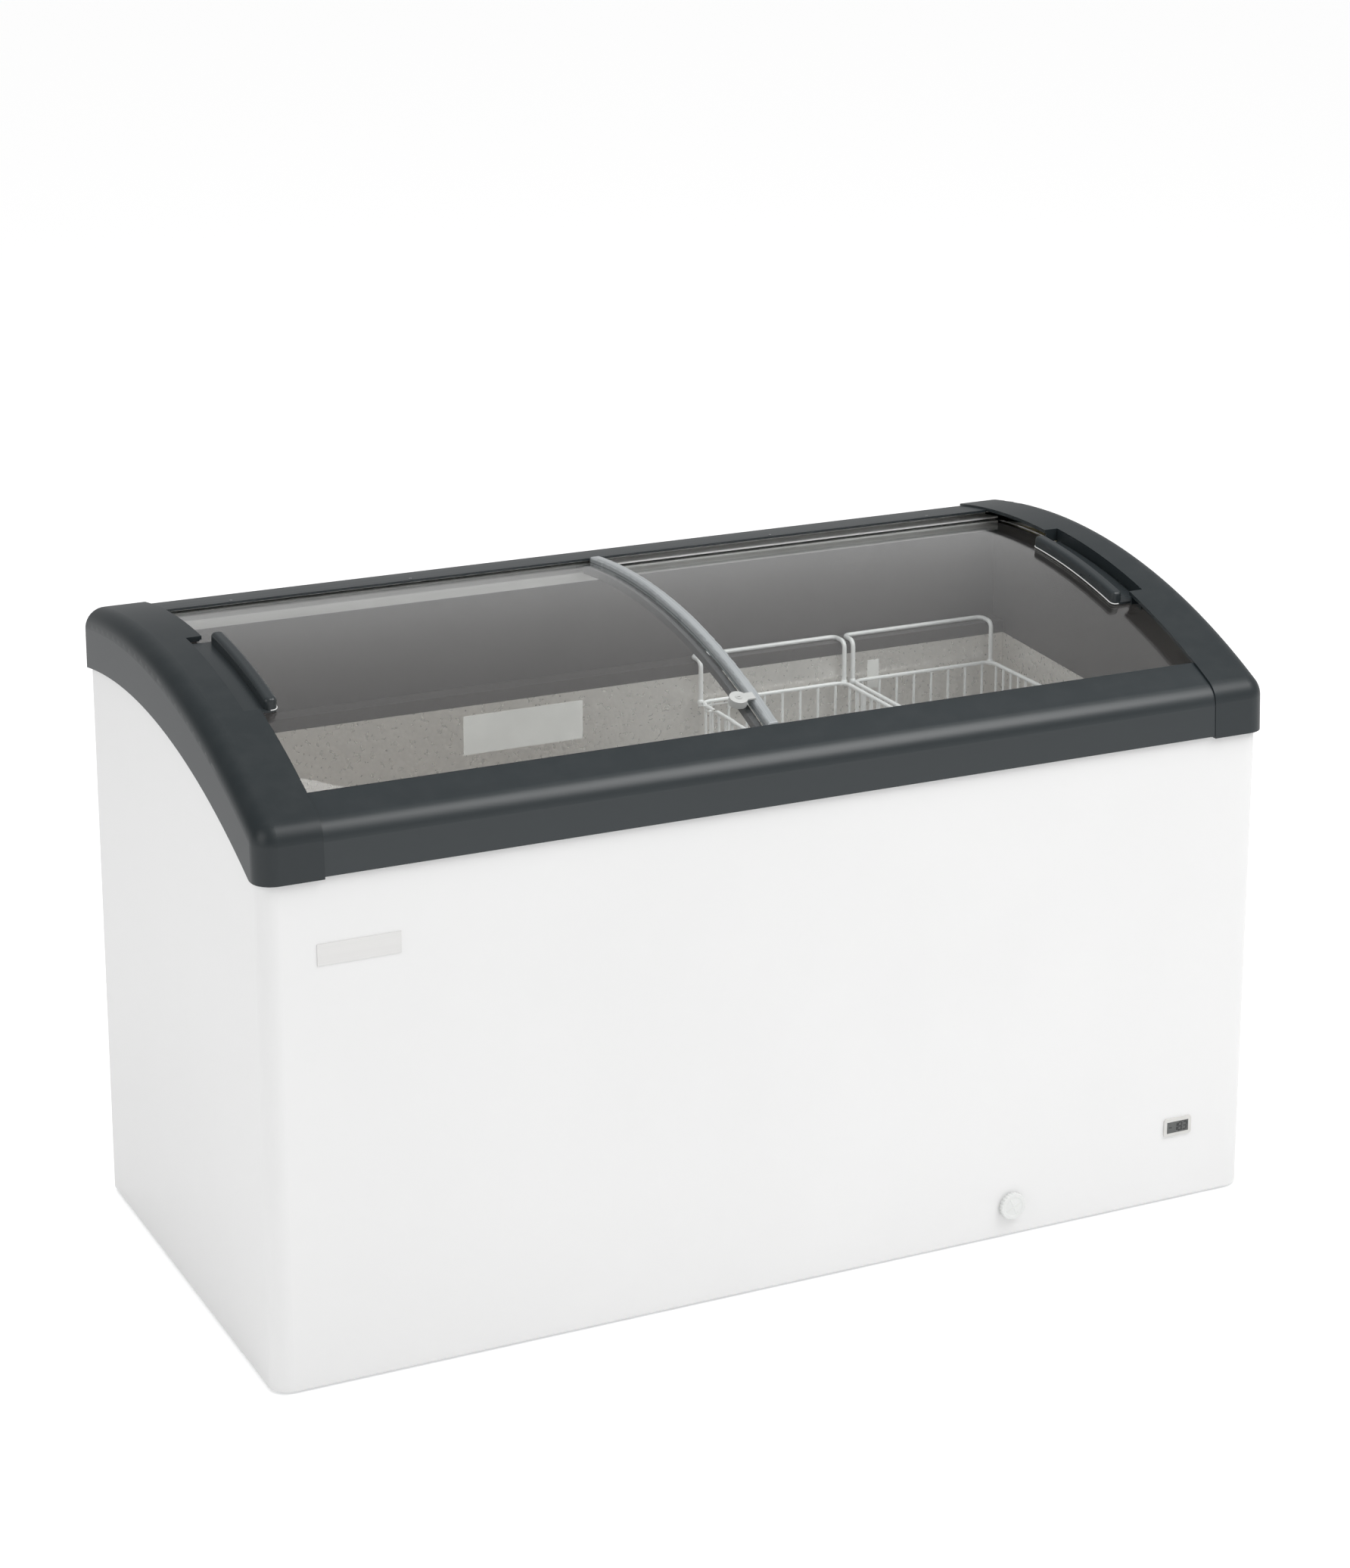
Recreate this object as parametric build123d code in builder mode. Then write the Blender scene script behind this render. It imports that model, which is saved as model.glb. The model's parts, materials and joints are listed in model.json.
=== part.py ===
from build123d import *
from math import radians, sqrt, tan
import os

os.makedirs("parts", exist_ok=True)

# Glass lid chest freezer. Millimetres, X to the right, Y to the back, Z up, with the origin
# on the floor under the middle of the cabinet. Places called "behind" are measured back from
# the cabinet's front, "drop" down from the crown, and "inset" in from the cabinet's side.

# Cabinet
cabinet_width = 1490.0
cabinet_depth = 700.0
foot_height = 4.0
corner_radius = 26.0           # upright front corners
skin = 1.0                     # steel of the wrap and the back panel
base_sheet = 1.5
fit_gap = 0.1                  # between sheets and what lies against them
seat_gap = 0.3                 # under pieces that rest on a curved or painted face
seam = 0.2                     # between neighbouring trims
past = 1.0                     # cutting shapes run this far past the faces they cut

# Curve of the lids: a circle about a line along X
crown_height = 894.0           # highest line of the end caps
crown_behind = 515.0
curve_radius = 1130.0

# Rim of two rails and two end caps
cap_reach = 9.0                # end caps stand this far out in front and behind
cap_side_reach = 5.0           # and this far out at the sides
cap_width = 88.0
cap_band = 85.0                # height of an end cap's side
cap_wall = 3.0
cap_drop = 196.0               # lower edge of the end caps' front
cap_draft = 3.0                # lean of the front faces, in degrees
front_roll = 33.0
side_roll = 28.0
rail_step = 3.0                # rails lie this far inside the end caps above and below
rail_recess = 1.0              # and this far inside in front
back_recess = 2.0              # and behind
rail_wall = 3.0
rail_cover = 2.2               # rail over the aluminium track
rail_edge = 1.8                # back rail's edge, turned down in front of the track
rail_edge_drop = 3.5
front_rail_depth = 54.0        # from the cabinet's front to the front rail's glass edge
back_rail_depth = 72.0         # from the cabinet's back to the back rail's glass edge
web_behind = 16.8              # rail's inner web
back_rail_drop = 98.0
back_round = 4.0
wrap_drop = 36.0               # cabinet sides end this far under the end caps' tops
foam_drop = 40.0

# Screws of the back rail
rail_screw_inset = (185.0, 455.0)
rail_screw_edge = 8.0          # from the back rail's glass edge
rail_screw_shank = 3.0
rail_screw_length = 3.6
rail_screw_head = 5.0
rail_screw_head_height = 1.0

# Tracks and lids
pane = 5.0
pane_gap = 0.1                 # pane in its profiles
lid_inset = 63.0               # outer ends of the panes
lid_overlap_left = 2.0         # upper pane's inner end, right of the middle
lid_overlap_right = 20.0       # lower pane's inner end, left of the middle
lip_gap = 1.7                  # between an end cap's inner lip and the pane under it
runner_lip = 1.5               # runner beyond the pane, above and below
runner_web = 1.9
runner_width = 16.0
runner_inset = 1.0             # runner's ends inside the pane's ends
runner_gap = 0.3               # runner in its slot, above and below
tip_gap = 0.4                  # runner's tip from the end of the front slot
back_slack = 8.0               # room behind the rear runners, so a lid can be lifted out
track_cover = 1.8
track_divider = 2.4
track_floor = 3.0
track_front_wall = 6.0
track_back_wall = 8.0
track_back_depth = 46.0
track_reach = 2.0              # tracks beyond the panes' outer ends
track_skirt = 10.0
track_skirt_wall = 2.5
bar_left = -11.0               # upright bar on the upper pane's inner end
bar_width = 16.0
bar_height = 8.0               # over the pane
bar_foot = 2.4                 # under the pane
bar_round = 3.0
bar_end_gap = 0.5              # bar's ends from the rails' glass edges
seal_left = 0.5
seal_width = 4.0
seal_gap = 0.5                 # seal over the lower pane
edge_left = -22.0              # thin edge on the lower pane's inner end
edge_width = 9.5
edge_height = 3.0
edge_end_gap = 2.0

# Handles, and the notches in the end caps that leave room for them
notch_behind = 222.0
notch_length = 235.0
notch_depth = 22.0
handle_length = 220.0
handle_clearance = 4.0         # in front of the handle
handle_height = 18.0
handle_grip = 18.0
handle_flat = 27.0             # base between the grip and the pane's end
handle_end = 1.0               # base's end inside the pane's end
handle_base = 3.0
handle_round = 6.0
handle_end_round = 7.5         # grip's ends, seen from above

# Lock on the upper pane
lock_left = 18.0               # lock's middle from the bar
lock_behind = 110.0
lock_diameter = 26.0
lock_height = 10.45
lock_nib_width = 14.0
lock_nib_reach = 5.0           # nib over the bar
barrel_diameter = 9.0
barrel_gap = 0.05
barrel_length = 18.2
barrel_proud = 0.9
barrel_hole = 12.0             # through the pane
keyway = (4.5, 1.2, 1.5)       # long, wide, deep

# Tub
side_wall = 60.0
end_wall = 90.0
floor_height = 76.0
liner = 1.0
step_inset = 350.0             # step over the machine room
step_height = 320.0
collar_wall = 2.5
back_collar_depth = 58.0       # from the cabinet's back to the back collar's face
ledge_drop = 185.0
collar_front_height = 45.0     # collar's wall under the ledge in front
collar_back_height = 19.0      # and behind

# Baskets
basket_count = 2
basket_width = 250.0
basket_between = 8.0
basket_end = 25.0              # from the right basket to the tub's end
basket_hang = 57.0             # basket's rim under the ledge
basket_height = 203.0
basket_gap = 10.0              # basket's ends clear of the tub
panel = 3.0
rib = 3.0
rim_bar = 6.0
basket_rows = 3
side_columns = 21
end_columns = 7
floor_columns = 5
floor_rows = 11
hanger_wire = 7.0
hanger_bend = 10.0
hanger_inset = 3.5             # hanger's uprights from the basket's sides
hanger_bar_gap = 12.0          # hanger's bar from the collar's face

# Drain
drain_inset = 393.0
drain_behind = 150.0
drain_height = 48.0
drain_bore = 18.0
drain_pipe = 24.0
drain_neck = 26.0
drain_neck_length = 6.0
drain_flange = 34.0
drain_flange_depth = 1.5
drain_seat_depth = 3.0         # seat's end behind the cabinet's front
drain_cap_diameter = 40.0
drain_cap_reach = 9.0
drain_flutes = 24
flute_diameter = 3.0
plug_shank = 17.6
plug_flange = 34.0
plug_head = 3.0
plug_length = 14.0

# Display
display_inset = 117.0
display_height = 115.0
bezel = (46.0, 27.0, 2.5)
bezel_round = 4.0
display_body = (42.0, 23.0, 16.0)
screen = (36.0, 17.0, 1.0)
screen_rim = 0.3               # screen under the bezel's face
lead_diameter = 3.0
lead_behind = 112.0
lead_bend = 20.0
lead_room = 1.0                # lead's holes wider than the lead
probe_diameter = 6.0
probe_length = 25.0
probe_round = 2.0

# Machine room
room_inset = 290.0
room_height = 260.0
room_sheet = 1.0
opening_left_inset = 270.0     # opening in the back panel
opening_right_inset = 20.0
opening_bottom = 22.0
opening_top = 243.0
cover_margin = 13.0            # machine cover beyond the opening
cover_sheet = 1.2
cover_screw = 4.0
cover_screw_length = 10.0
cover_screw_head = 8.0
cover_screw_head_height = 2.4
louvre_count = 9
louvre_pitch = 15.0
louvre_height = 4.0
louvre_length = 90.0
louvre_inset = 155.0
louvre_low = 45.0
knob_inset = 55.0
knob_height = 215.0
knob_diameter = 28.0
knob_depth = 7.5
knob_shaft = 6.0
knob_shaft_length = 15.0
knob_mark = (2.0, 1.0)         # wide, deep
thermostat = (36.0, 34.5, 30.0)
gland_inset = 245.0
gland_height = 60.0
gland_diameter = 16.0
gland_head = 22.0
gland_reach = 6.0
gland_shank = 10.0
gland_bore = 8.0
compressor_inset = 145.0
compressor_behind = 430.0
compressor_radius = 75.0
compressor_bottom = 26.5
compressor_top = 190.0
compressor_crown = 40.0
compressor_foot = 25.0
plate = (200.0, 120.0, 2.5)
grommet_pitch = (160.0, 90.0)
grommet_diameter = 22.0
bolt_diameter = 8.0
bolt_head = 13.0
bolt_head_height = 5.3
pipe_height = 120.0
suction_diameter = 8.0
discharge_diameter = 6.0
discharge_bend = 15.0
discharge_reach = 30.0
drier_inset = 245.0
drier_behind = 520.0
drier_diameter = 19.0
drier_low = 80.0
drier_length = 110.0
drier_stub = 20.0
relay = (50.0, 40.0, 70.0)
relay_low = 80.0
terminal = (60.0, 40.0, 45.0)
terminal_inset = 225.0
terminal_behind = 600.0

# Tubes in the foam
evaporator_tube = 8.0
evaporator_rise = 30.0         # lowest turn over the step
evaporator_pitch = 50.0
evaporator_below = 30.0        # turns stay this far under the collar
evaporator_bend = 16.0
condenser_tube = 5.0
condenser_low = 300.0
condenser_pitch = 60.0
condenser_below = 60.0         # turns stay this far under the rails
condenser_bend = 28.0
condenser_back_gap = 40.0      # from the turns' ends to the back panel
channel = 3.0                  # room in the foam inside the condenser

# Feet
glide_side_inset = 55.0
glide_inset = 50.0             # from the cabinet's front and back
glide_diameter = 50.0
foot_screw = 6.0
foot_screw_length = 8.0
foot_screw_head = 12.0
foot_screw_head_height = 2.0
foot_screw_seat = 1.0

# Badge plate and labels
badge = (113.0, 1.2, 29.0)
badge_inset = 129.0
badge_below = 102.0            # under the end caps' lower edge
notice = (190.0, 0.3, 60.0)
notice_left = 128.0            # from the middle
notice_below = 64.0            # under the ledge
load_strip = (20.0, 0.3, 45.0)
load_strip_inset = 290.0
load_strip_below = 57.0

# Places that follow from these
half_width = cabinet_width / 2
front_y = -cabinet_depth / 2
back_y = cabinet_depth / 2
cabinet_bottom = foot_height
crown_y = front_y + crown_behind
curve_z = crown_height - curve_radius
cap_outer = half_width + cap_side_reach
cap_inner = cap_outer - cap_width
cap_bottom = crown_height - cap_drop
rail_end = cap_inner - seam
rail_edge_front = front_y + front_rail_depth
rail_edge_back = back_y - back_rail_depth
rail_front = front_y - cap_reach + rail_recess
rail_back = back_y + cap_reach - back_recess
rail_bottom = cap_bottom + rail_step
rail_roll = front_roll - rail_recess
back_rail_bottom = crown_height - back_rail_drop
web_front = front_y + web_behind
track_top = rail_step + rail_cover + seam
upper_inset = track_top + track_cover + runner_gap + runner_lip
slot_reach = runner_lip + runner_gap
lower_inset = upper_inset + pane + 2 * slot_reach + track_divider
track_bottom = lower_inset + pane + slot_reach + track_floor
track_front = web_front + rail_wall + seam
slot_front = track_front + track_front_wall
track_back_front = rail_edge_back + rail_edge + seam
track_back = track_back_front + track_back_depth
slot_back = track_back - track_back_wall
back_web = track_back + seam
lid_end = half_width - lid_inset
track_end = lid_end + track_reach
runner_front = slot_front + tip_gap
runner_back = slot_back - back_slack
pane_front = runner_front + runner_web + pane_gap
pane_back = runner_back - runner_web - pane_gap
upper_lip = upper_inset - lip_gap
lower_lip = lower_inset - lip_gap
bar_front = rail_edge_front + bar_end_gap
bar_back = rail_edge_back - bar_end_gap
bar_middle = (bar_front + bar_back) / 2
notch_front = front_y + notch_behind
notch_back = notch_front + notch_length
handle_front = notch_front + handle_clearance
handle_back = handle_front + handle_length
handle_outer = lid_end - handle_end
handle_inner = handle_outer - handle_flat - handle_grip
lock_x = bar_left - lock_left
lock_y = front_y + lock_behind
tub_side = half_width - side_wall
tub_front = front_y + end_wall
tub_back = back_y - end_wall
liner_side = tub_side + liner
step_x = half_width - step_inset
base_top = cabinet_bottom + base_sheet
collar_back = back_y - back_collar_depth
front_collar_back = rail_edge_front - collar_wall
back_collar_back = collar_back + collar_wall
ledge_height = crown_height - ledge_drop
ledge_low = ledge_height - collar_wall
collar_low_front = ledge_height - collar_front_height
collar_low_back = ledge_height - collar_back_height
basket_front = tub_front + basket_gap
basket_back = tub_back - basket_gap
basket_rim = ledge_height - basket_hang
basket_pitch = basket_width + basket_between
basket_left = tub_side - basket_end - basket_width - (basket_count - 1) * basket_pitch
drain_x = half_width - drain_inset
drain_y = front_y + drain_behind
drain_seat_end = front_y + drain_seat_depth
display_x = half_width - display_inset
lead_y = front_y + lead_behind
lead_hole = lead_diameter + lead_room
screen_back = front_y - bezel[2] + screen_rim + screen[2]
room_x = half_width - room_inset
opening_left = half_width - opening_left_inset
opening_right = half_width - opening_right_inset
cover_left = opening_left - cover_margin
cover_right = opening_right + cover_margin
cover_low = opening_bottom - cover_margin
cover_high = opening_top + cover_margin
cover_face = back_y + cover_sheet
louvre_x = half_width - louvre_inset
knob_x = half_width - knob_inset
knob_back = cover_face + seat_gap + knob_depth
gland_x = half_width - gland_inset
compressor_x = half_width - compressor_inset
compressor_y = front_y + compressor_behind
drier_x = half_width - drier_inset
drier_y = front_y + drier_behind
terminal_x = half_width - terminal_inset
terminal_y = front_y + terminal_behind
evaporator_low = step_height + evaporator_rise
evaporator_turns = 1 + int((collar_low_front - evaporator_below - evaporator_low) / evaporator_pitch)
condenser_turns = 1 + int((rail_bottom - condenser_below - condenser_low) / condenser_pitch)
foot_screw_top = foot_screw_seat + foot_screw_head_height + foot_screw_length
badge_x = badge_inset - half_width
badge_height = cap_bottom - badge_below
notice_height = ledge_height - notice_below
load_strip_x = half_width - load_strip_inset
load_strip_height = ledge_height - load_strip_below
glide_places = [(side * (half_width - glide_side_inset), y) for side in (-1, 1)
                for y in (front_y + glide_inset, back_y - glide_inset)]
bolt_places = [(compressor_x + dx * grommet_pitch[0] / 2, compressor_y + dy * grommet_pitch[1] / 2)
               for dx in (-1, 1) for dy in (-1, 1)]
cover_screw_places = [(x, z) for x in (cover_left + cover_margin / 2, cover_right - cover_margin / 2)
                      for z in (cover_low + cover_margin / 2, cover_high - cover_margin / 2)]
CUT = Mode.SUBTRACT


def save(piece, name):
    """Label a finished piece and write it."""
    piece.part.label = name
    export_step(piece.part, f"parts/{name}.step")


def block(x, y, z, mode=Mode.ADD):
    """Box between two places along each axis."""
    with Locations(((x[0] + x[1]) / 2, (y[0] + y[1]) / 2, (z[0] + z[1]) / 2)):
        Box(x[1] - x[0], y[1] - y[0], z[1] - z[0], mode=mode)


def rod(start, end, diameter, mode=Mode.ADD):
    """Round bar, or a drilled hole, from one point to another."""
    way = Vector(*end) - Vector(*start)
    with Locations(Plane(origin=start, z_dir=way)):
        Cylinder(diameter / 2, way.length,
                 align=(Align.CENTER, Align.CENTER, Align.MIN), mode=mode)


def pipe(points, diameter, bend):
    """Bent round tube or wire along straight runs and arcs."""
    with BuildPart() as tube:
        with BuildLine() as route:
            FilletPolyline(*points, radius=bend)
        with BuildSketch(Plane(origin=route.line @ 0, z_dir=route.line % 0)):
            Circle(diameter / 2)
        sweep()
    return tube.part


def curve(y, inset=0.0, drop=0.0):
    """Height at y of the circle that lies inset under the end caps' tops, lowered by drop."""
    return curve_z - drop + sqrt((curve_radius - inset) ** 2 - (y - crown_y) ** 2)


def curve_at(y, inset=0.0):
    """Point and outward normal of that circle in the middle plane."""
    height = curve(y, inset)
    return height, Vector(0, y - crown_y, height - curve_z).normalized()


def on_curve(x, y, inset):
    """Plane that touches that circle at x and y, with its normal outward."""
    height, normal = curve_at(y, inset)
    return Plane(origin=(x, y, height), x_dir=(1, 0, 0), z_dir=normal)


def band(front, back, top, bottom, x=0.0):
    """Face at x between the circles at two insets, from y front to y back."""
    middle = (front + back) / 2
    with BuildSketch(Plane.YZ.offset(x)) as face:
        with BuildLine():
            ThreePointArc(*[(y, curve(y, top)) for y in (front, middle, back)])
            Line((back, curve(back, top)), (back, curve(back, bottom)))
            ThreePointArc(*[(y, curve(y, bottom)) for y in (back, middle, front)])
            Line((front, curve(front, bottom)), (front, curve(front, top)))
        make_face()
    return face.sketch


def under(front, back, bottom, inset=0.0, drop=0.0, x=0.0):
    """Face at x from height bottom up to the curve."""
    middle = (front + back) / 2
    with BuildSketch(Plane.YZ.offset(x)) as face:
        with BuildLine():
            ThreePointArc(*[(y, curve(y, inset, drop)) for y in (front, middle, back)])
            Polyline((back, curve(back, inset, drop)), (back, bottom), (front, bottom),
                     (front, curve(front, inset, drop)))
        make_face()
    return face.sketch


def rim(front, back, bottom, inset, roll, x=0.0):
    """Face at x with a drafted front, a round front edge, a curved top and an upright back."""
    lean = tan(radians(cap_draft))
    top = front
    for _ in range(6):         # closes in on where the drafted front meets the curve
        top = front + (curve(top, inset) - bottom) * lean
    middle = (top + back) / 2
    with BuildSketch(Plane.YZ.offset(x)) as face:
        with BuildLine():
            ThreePointArc(*[(y, curve(y, inset)) for y in (top, middle, back)])
            Polyline((back, curve(back, inset)), (back, bottom), (front, bottom),
                     (top, curve(top, inset)))
        make_face()
        fillet(face.vertices().sort_by_distance((top, curve(top, inset), 0))[0], roll)
    return face.sketch


def plan(inset, back, height):
    """The cabinet's outline from above, drawn in by inset and reaching back to y back."""
    front = front_y + inset
    with BuildSketch(Plane.XY.offset(height)) as outline:
        with Locations((0, (front + back) / 2)):
            Rectangle(2 * (half_width - inset), back - front)
        fillet(outline.vertices().group_by(Axis.Y)[0], corner_radius - inset)
    return outline.sketch


def collar_low(y):
    """Height of the collar's lower edge at y."""
    rise = (collar_low_back - collar_low_front) / (tub_back - tub_front)
    return collar_low_front + (y - tub_front) * rise


lock_plane = on_curve(lock_x, lock_y, upper_inset - fit_gap / 2)
nib_end = bar_left + lock_nib_reach - lock_x
rail_screw_planes = [on_curve(side * (half_width - inset), rail_edge_back + rail_screw_edge,
                              rail_step)
                     for inset in rail_screw_inset for side in (-1, 1)]

# Outer wrap: the front and both sides bent from one sheet
with BuildPart() as outer_wrap:
    extrude(plan(0, back_y, cabinet_bottom), amount=crown_height)
    extrude(plan(skin, back_y + skin, cabinet_bottom), amount=crown_height, mode=CUT)
    extrude(under(front_y - past, back_y + past, 0, drop=wrap_drop, x=-half_width - past),
            amount=cabinet_width + 2 * past, mode=Mode.INTERSECT)
    block((display_x - display_body[0] / 2 - seam, display_x + display_body[0] / 2 + seam),
          (front_y - skin, front_y + 2 * skin),
          (display_height - display_body[1] / 2 - seam, display_height + display_body[1] / 2 + seam),
          CUT)
    rod((drain_x, front_y - skin, drain_height), (drain_x, front_y + 2 * skin, drain_height),
        drain_neck + seam, CUT)
save(outer_wrap, "outer_wrap")

# Back panel with the machine room's opening
with BuildPart() as back_panel:
    block((-half_width + skin, half_width - skin), (back_y - skin, back_y),
          (cabinet_bottom, curve(back_y, 0, foam_drop) - skin))
    block((opening_left, opening_right), (back_y - 2 * skin, back_y + skin),
          (opening_bottom, opening_top), CUT)
    for x, z in cover_screw_places:
        rod((x, back_y - 2 * skin, z), (x, back_y + skin, z), cover_screw + seam, CUT)
save(back_panel, "back_panel")

# Base pan with holes for the feet's screws and the compressor's bolts
with BuildPart() as base_pan:
    extrude(plan(skin + fit_gap, back_y - skin - fit_gap, cabinet_bottom), amount=base_sheet)
    for x, y in glide_places:
        rod((x, y, 0), (x, y, base_top + past), foot_screw + seam, CUT)
    for x, y in bolt_places:
        rod((x, y, 0), (x, y, base_top + past), bolt_diameter + seam, CUT)
save(base_pan, "base_pan")

# Tub's liner of flat sheets with narrow seams
with BuildPart() as liner_floor:
    block((-liner_side, step_x - seam), (tub_front - liner, tub_back + liner),
          (floor_height - liner, floor_height))
    rod((drain_x, drain_y, 0), (drain_x, drain_y, step_height), drain_pipe, CUT)
    block((step_x, step_x + liner), (tub_front - liner, tub_back + liner),
          (floor_height - liner, step_height - liner - seam))
    block((step_x, liner_side), (tub_front - liner, tub_back + liner),
          (step_height - liner, step_height))
    rod((display_x, lead_y, 0), (display_x, lead_y, crown_height), lead_hole, CUT)
save(liner_floor, "liner_floor")

with BuildPart() as liner_walls:
    for wall_y, low in ((tub_front - liner, collar_low_front), (tub_back, collar_low_back)):
        with BuildSketch(Plane.XZ.offset(-wall_y - liner)):
            with BuildLine():
                Polyline((-tub_side + seam, floor_height + seam), (step_x - seam, floor_height + seam),
                         (step_x - seam, step_height + seam), (tub_side - seam, step_height + seam),
                         (tub_side - seam, low - seam), (-tub_side + seam, low - seam), close=True)
            make_face()
        extrude(amount=liner)
    for x, low in ((-liner_side, floor_height), (tub_side, step_height)):
        with BuildSketch(Plane.YZ.offset(x)):
            with BuildLine():
                Polyline((tub_front - liner, low + seam), (tub_back + liner, low + seam),
                         (tub_back + liner, collar_low(tub_back) - seam),
                         (tub_front - liner, collar_low(tub_front) - seam), close=True)
            make_face()
        extrude(amount=liner)
save(liner_walls, "liner_walls")

# Collar above the liner: ledges in front and behind carry the baskets
with BuildPart() as front_collar:
    block((-tub_side, tub_side), (front_collar_back, rail_edge_front),
          (ledge_low, curve(front_collar_back, track_bottom) - seat_gap))
    block((-tub_side, tub_side), (front_collar_back, tub_front), (ledge_low, ledge_height))
    block((-tub_side, tub_side), (tub_front - collar_wall, tub_front),
          (collar_low_front, ledge_height))
save(front_collar, "front_collar")

with BuildPart() as back_collar:
    block((-tub_side, tub_side), (collar_back, back_collar_back),
          (ledge_low, curve(back_collar_back, track_bottom) - seat_gap))
    block((-tub_side, tub_side), (tub_back, back_collar_back), (ledge_low, ledge_height))
    block((-tub_side, tub_side), (tub_back, tub_back + collar_wall),
          (collar_low_back, ledge_height))
save(back_collar, "back_collar")


def collar_room(gap, x, width):
    """Prism that the collar lies in, from x to the right, with a gap under it."""
    with BuildPart() as room:
        with BuildSketch(Plane.YZ.offset(x)):
            with BuildLine():
                Polyline((front_collar_back - gap, ledge_low - gap),
                         (tub_front - collar_wall - gap, ledge_low - gap),
                         (tub_front - collar_wall - gap, collar_low_front - gap),
                         (tub_front, collar_low_front - gap), (tub_back, collar_low_back - gap),
                         (tub_back + collar_wall + gap, collar_low_back - gap),
                         (tub_back + collar_wall + gap, ledge_low - gap),
                         (back_collar_back + gap, ledge_low - gap),
                         (back_collar_back + gap, crown_height),
                         (front_collar_back - gap, crown_height), close=True)
            make_face()
        extrude(amount=width)
    return room.part


def side_collar(x):
    """Side piece of the collar, standing on the liner, from x to the right."""
    with BuildPart() as collar:
        add(collar_room(0, x, collar_wall))
        extrude(under(front_y, back_y, 0, inset=track_bottom + 2 * seam, x=x),
                amount=collar_wall, mode=Mode.INTERSECT)
    return collar


left_collar = side_collar(-tub_side - collar_wall)
save(left_collar, "left_collar")
right_collar = side_collar(tub_side)
save(right_collar, "right_collar")

# Aluminium tracks: two slots each, one over the other
with BuildPart() as front_track:
    extrude(band(track_front, rail_edge_front, track_top, track_bottom, -track_end),
            amount=2 * track_end)
    for inset in (upper_inset, lower_inset):
        extrude(band(slot_front, rail_edge_front + past, inset - slot_reach,
                     inset + pane + slot_reach, -track_end), amount=2 * track_end, mode=CUT)
save(front_track, "front_track")

with BuildPart() as rear_track:
    extrude(band(track_back_front, track_back, track_top, track_bottom, -track_end),
            amount=2 * track_end)
    for inset in (upper_inset, lower_inset):
        extrude(band(track_back_front - past, slot_back, inset - slot_reach,
                     inset + pane + slot_reach, -track_end), amount=2 * track_end, mode=CUT)
    # A seam parts the lips of the slots from the web, so that collision leaves the slots open
    extrude(band(slot_back, slot_back + seam, track_top - past, track_bottom + past, -track_end),
            amount=2 * track_end, mode=CUT)
    for plane in rail_screw_planes:
        with Locations(plane):
            Cylinder((rail_screw_shank + seam) / 2, 2 * rail_screw_length, mode=CUT)
    extrude(band(track_back_front, track_back_front + track_skirt_wall, track_bottom + seam,
                 track_bottom + track_skirt, -track_end), amount=2 * track_end)
save(rear_track, "rear_track")

# Rails over the tracks
with BuildPart() as front_rail:
    extrude(rim(rail_front, rail_edge_front, rail_bottom, rail_step, rail_roll, -rail_end),
            amount=2 * rail_end)
    extrude(rim(rail_front + rail_wall, web_front, rail_bottom + rail_wall, rail_step + rail_wall,
                rail_roll - rail_wall, -rail_end), amount=2 * rail_end, mode=CUT)
    extrude(under(web_front + rail_wall, rail_edge_front + past, rail_bottom - past,
                  inset=rail_step + rail_cover, x=-rail_end), amount=2 * rail_end, mode=CUT)
    block((-rail_end, rail_end), (front_y - seam, web_front + rail_wall),
          (rail_bottom - past, curve(web_front + rail_wall, 0, foam_drop) + seam), CUT)
save(front_rail, "front_rail")

with BuildPart() as back_rail:
    extrude(under(rail_edge_back, rail_back, back_rail_bottom, inset=rail_step, x=-rail_end),
            amount=2 * rail_end)
    top_edge = back_rail.edges().filter_by(Axis.X).sort_by_distance(
        (0, rail_back, curve(rail_back, rail_step)))[0]
    fillet(top_edge, back_round)
    extrude(under(rail_edge_back + rail_edge, back_web, back_rail_bottom - past,
                  inset=rail_step + rail_cover, x=-rail_end), amount=2 * rail_end, mode=CUT)
    extrude(under(rail_edge_back - past, rail_edge_back + rail_edge, back_rail_bottom - past,
                  inset=rail_step + rail_edge_drop, x=-rail_end), amount=2 * rail_end, mode=CUT)
    extrude(under(back_web + rail_wall, rail_back - rail_wall, back_rail_bottom + rail_wall,
                  inset=rail_step + rail_wall, x=-rail_end), amount=2 * rail_end, mode=CUT)
    block((-rail_end, rail_end), (rail_edge_back - past, back_y + seam),
          (back_rail_bottom - past, curve(back_web, 0, foam_drop) + seam), CUT)
    for plane in rail_screw_planes:
        with Locations(plane):
            Cylinder((rail_screw_shank + seam) / 2, 2 * rail_screw_length, mode=CUT)
save(back_rail, "back_rail")

# Screws down through the back rail into the rear track
with BuildPart() as rail_screws:
    for plane in rail_screw_planes:
        with Locations(plane):
            Cylinder(rail_screw_shank / 2, rail_screw_length,
                     align=(Align.CENTER, Align.CENTER, Align.MAX))
            Cylinder(rail_screw_head / 2, rail_screw_head_height,
                     align=(Align.CENTER, Align.CENTER, Align.MIN))
save(rail_screws, "rail_screws")


def outer_edges(piece, bottom, back):
    """Edges of a piece's right side, without its bottom and back edges."""
    side = piece.faces().sort_by(Axis.X)[-1]
    return [edge for edge in side.edges()
            if edge.center().Z > bottom + past and edge.center().Y < back - past]


with BuildPart() as cabinet_space:
    extrude(plan(-seat_gap, back_y + seat_gap, 0), amount=crown_height)
    extrude(under(front_y - past, back_y + past, 0, drop=wrap_drop - seat_gap, x=-cap_outer),
            amount=2 * cap_outer, mode=Mode.INTERSECT)


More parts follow.
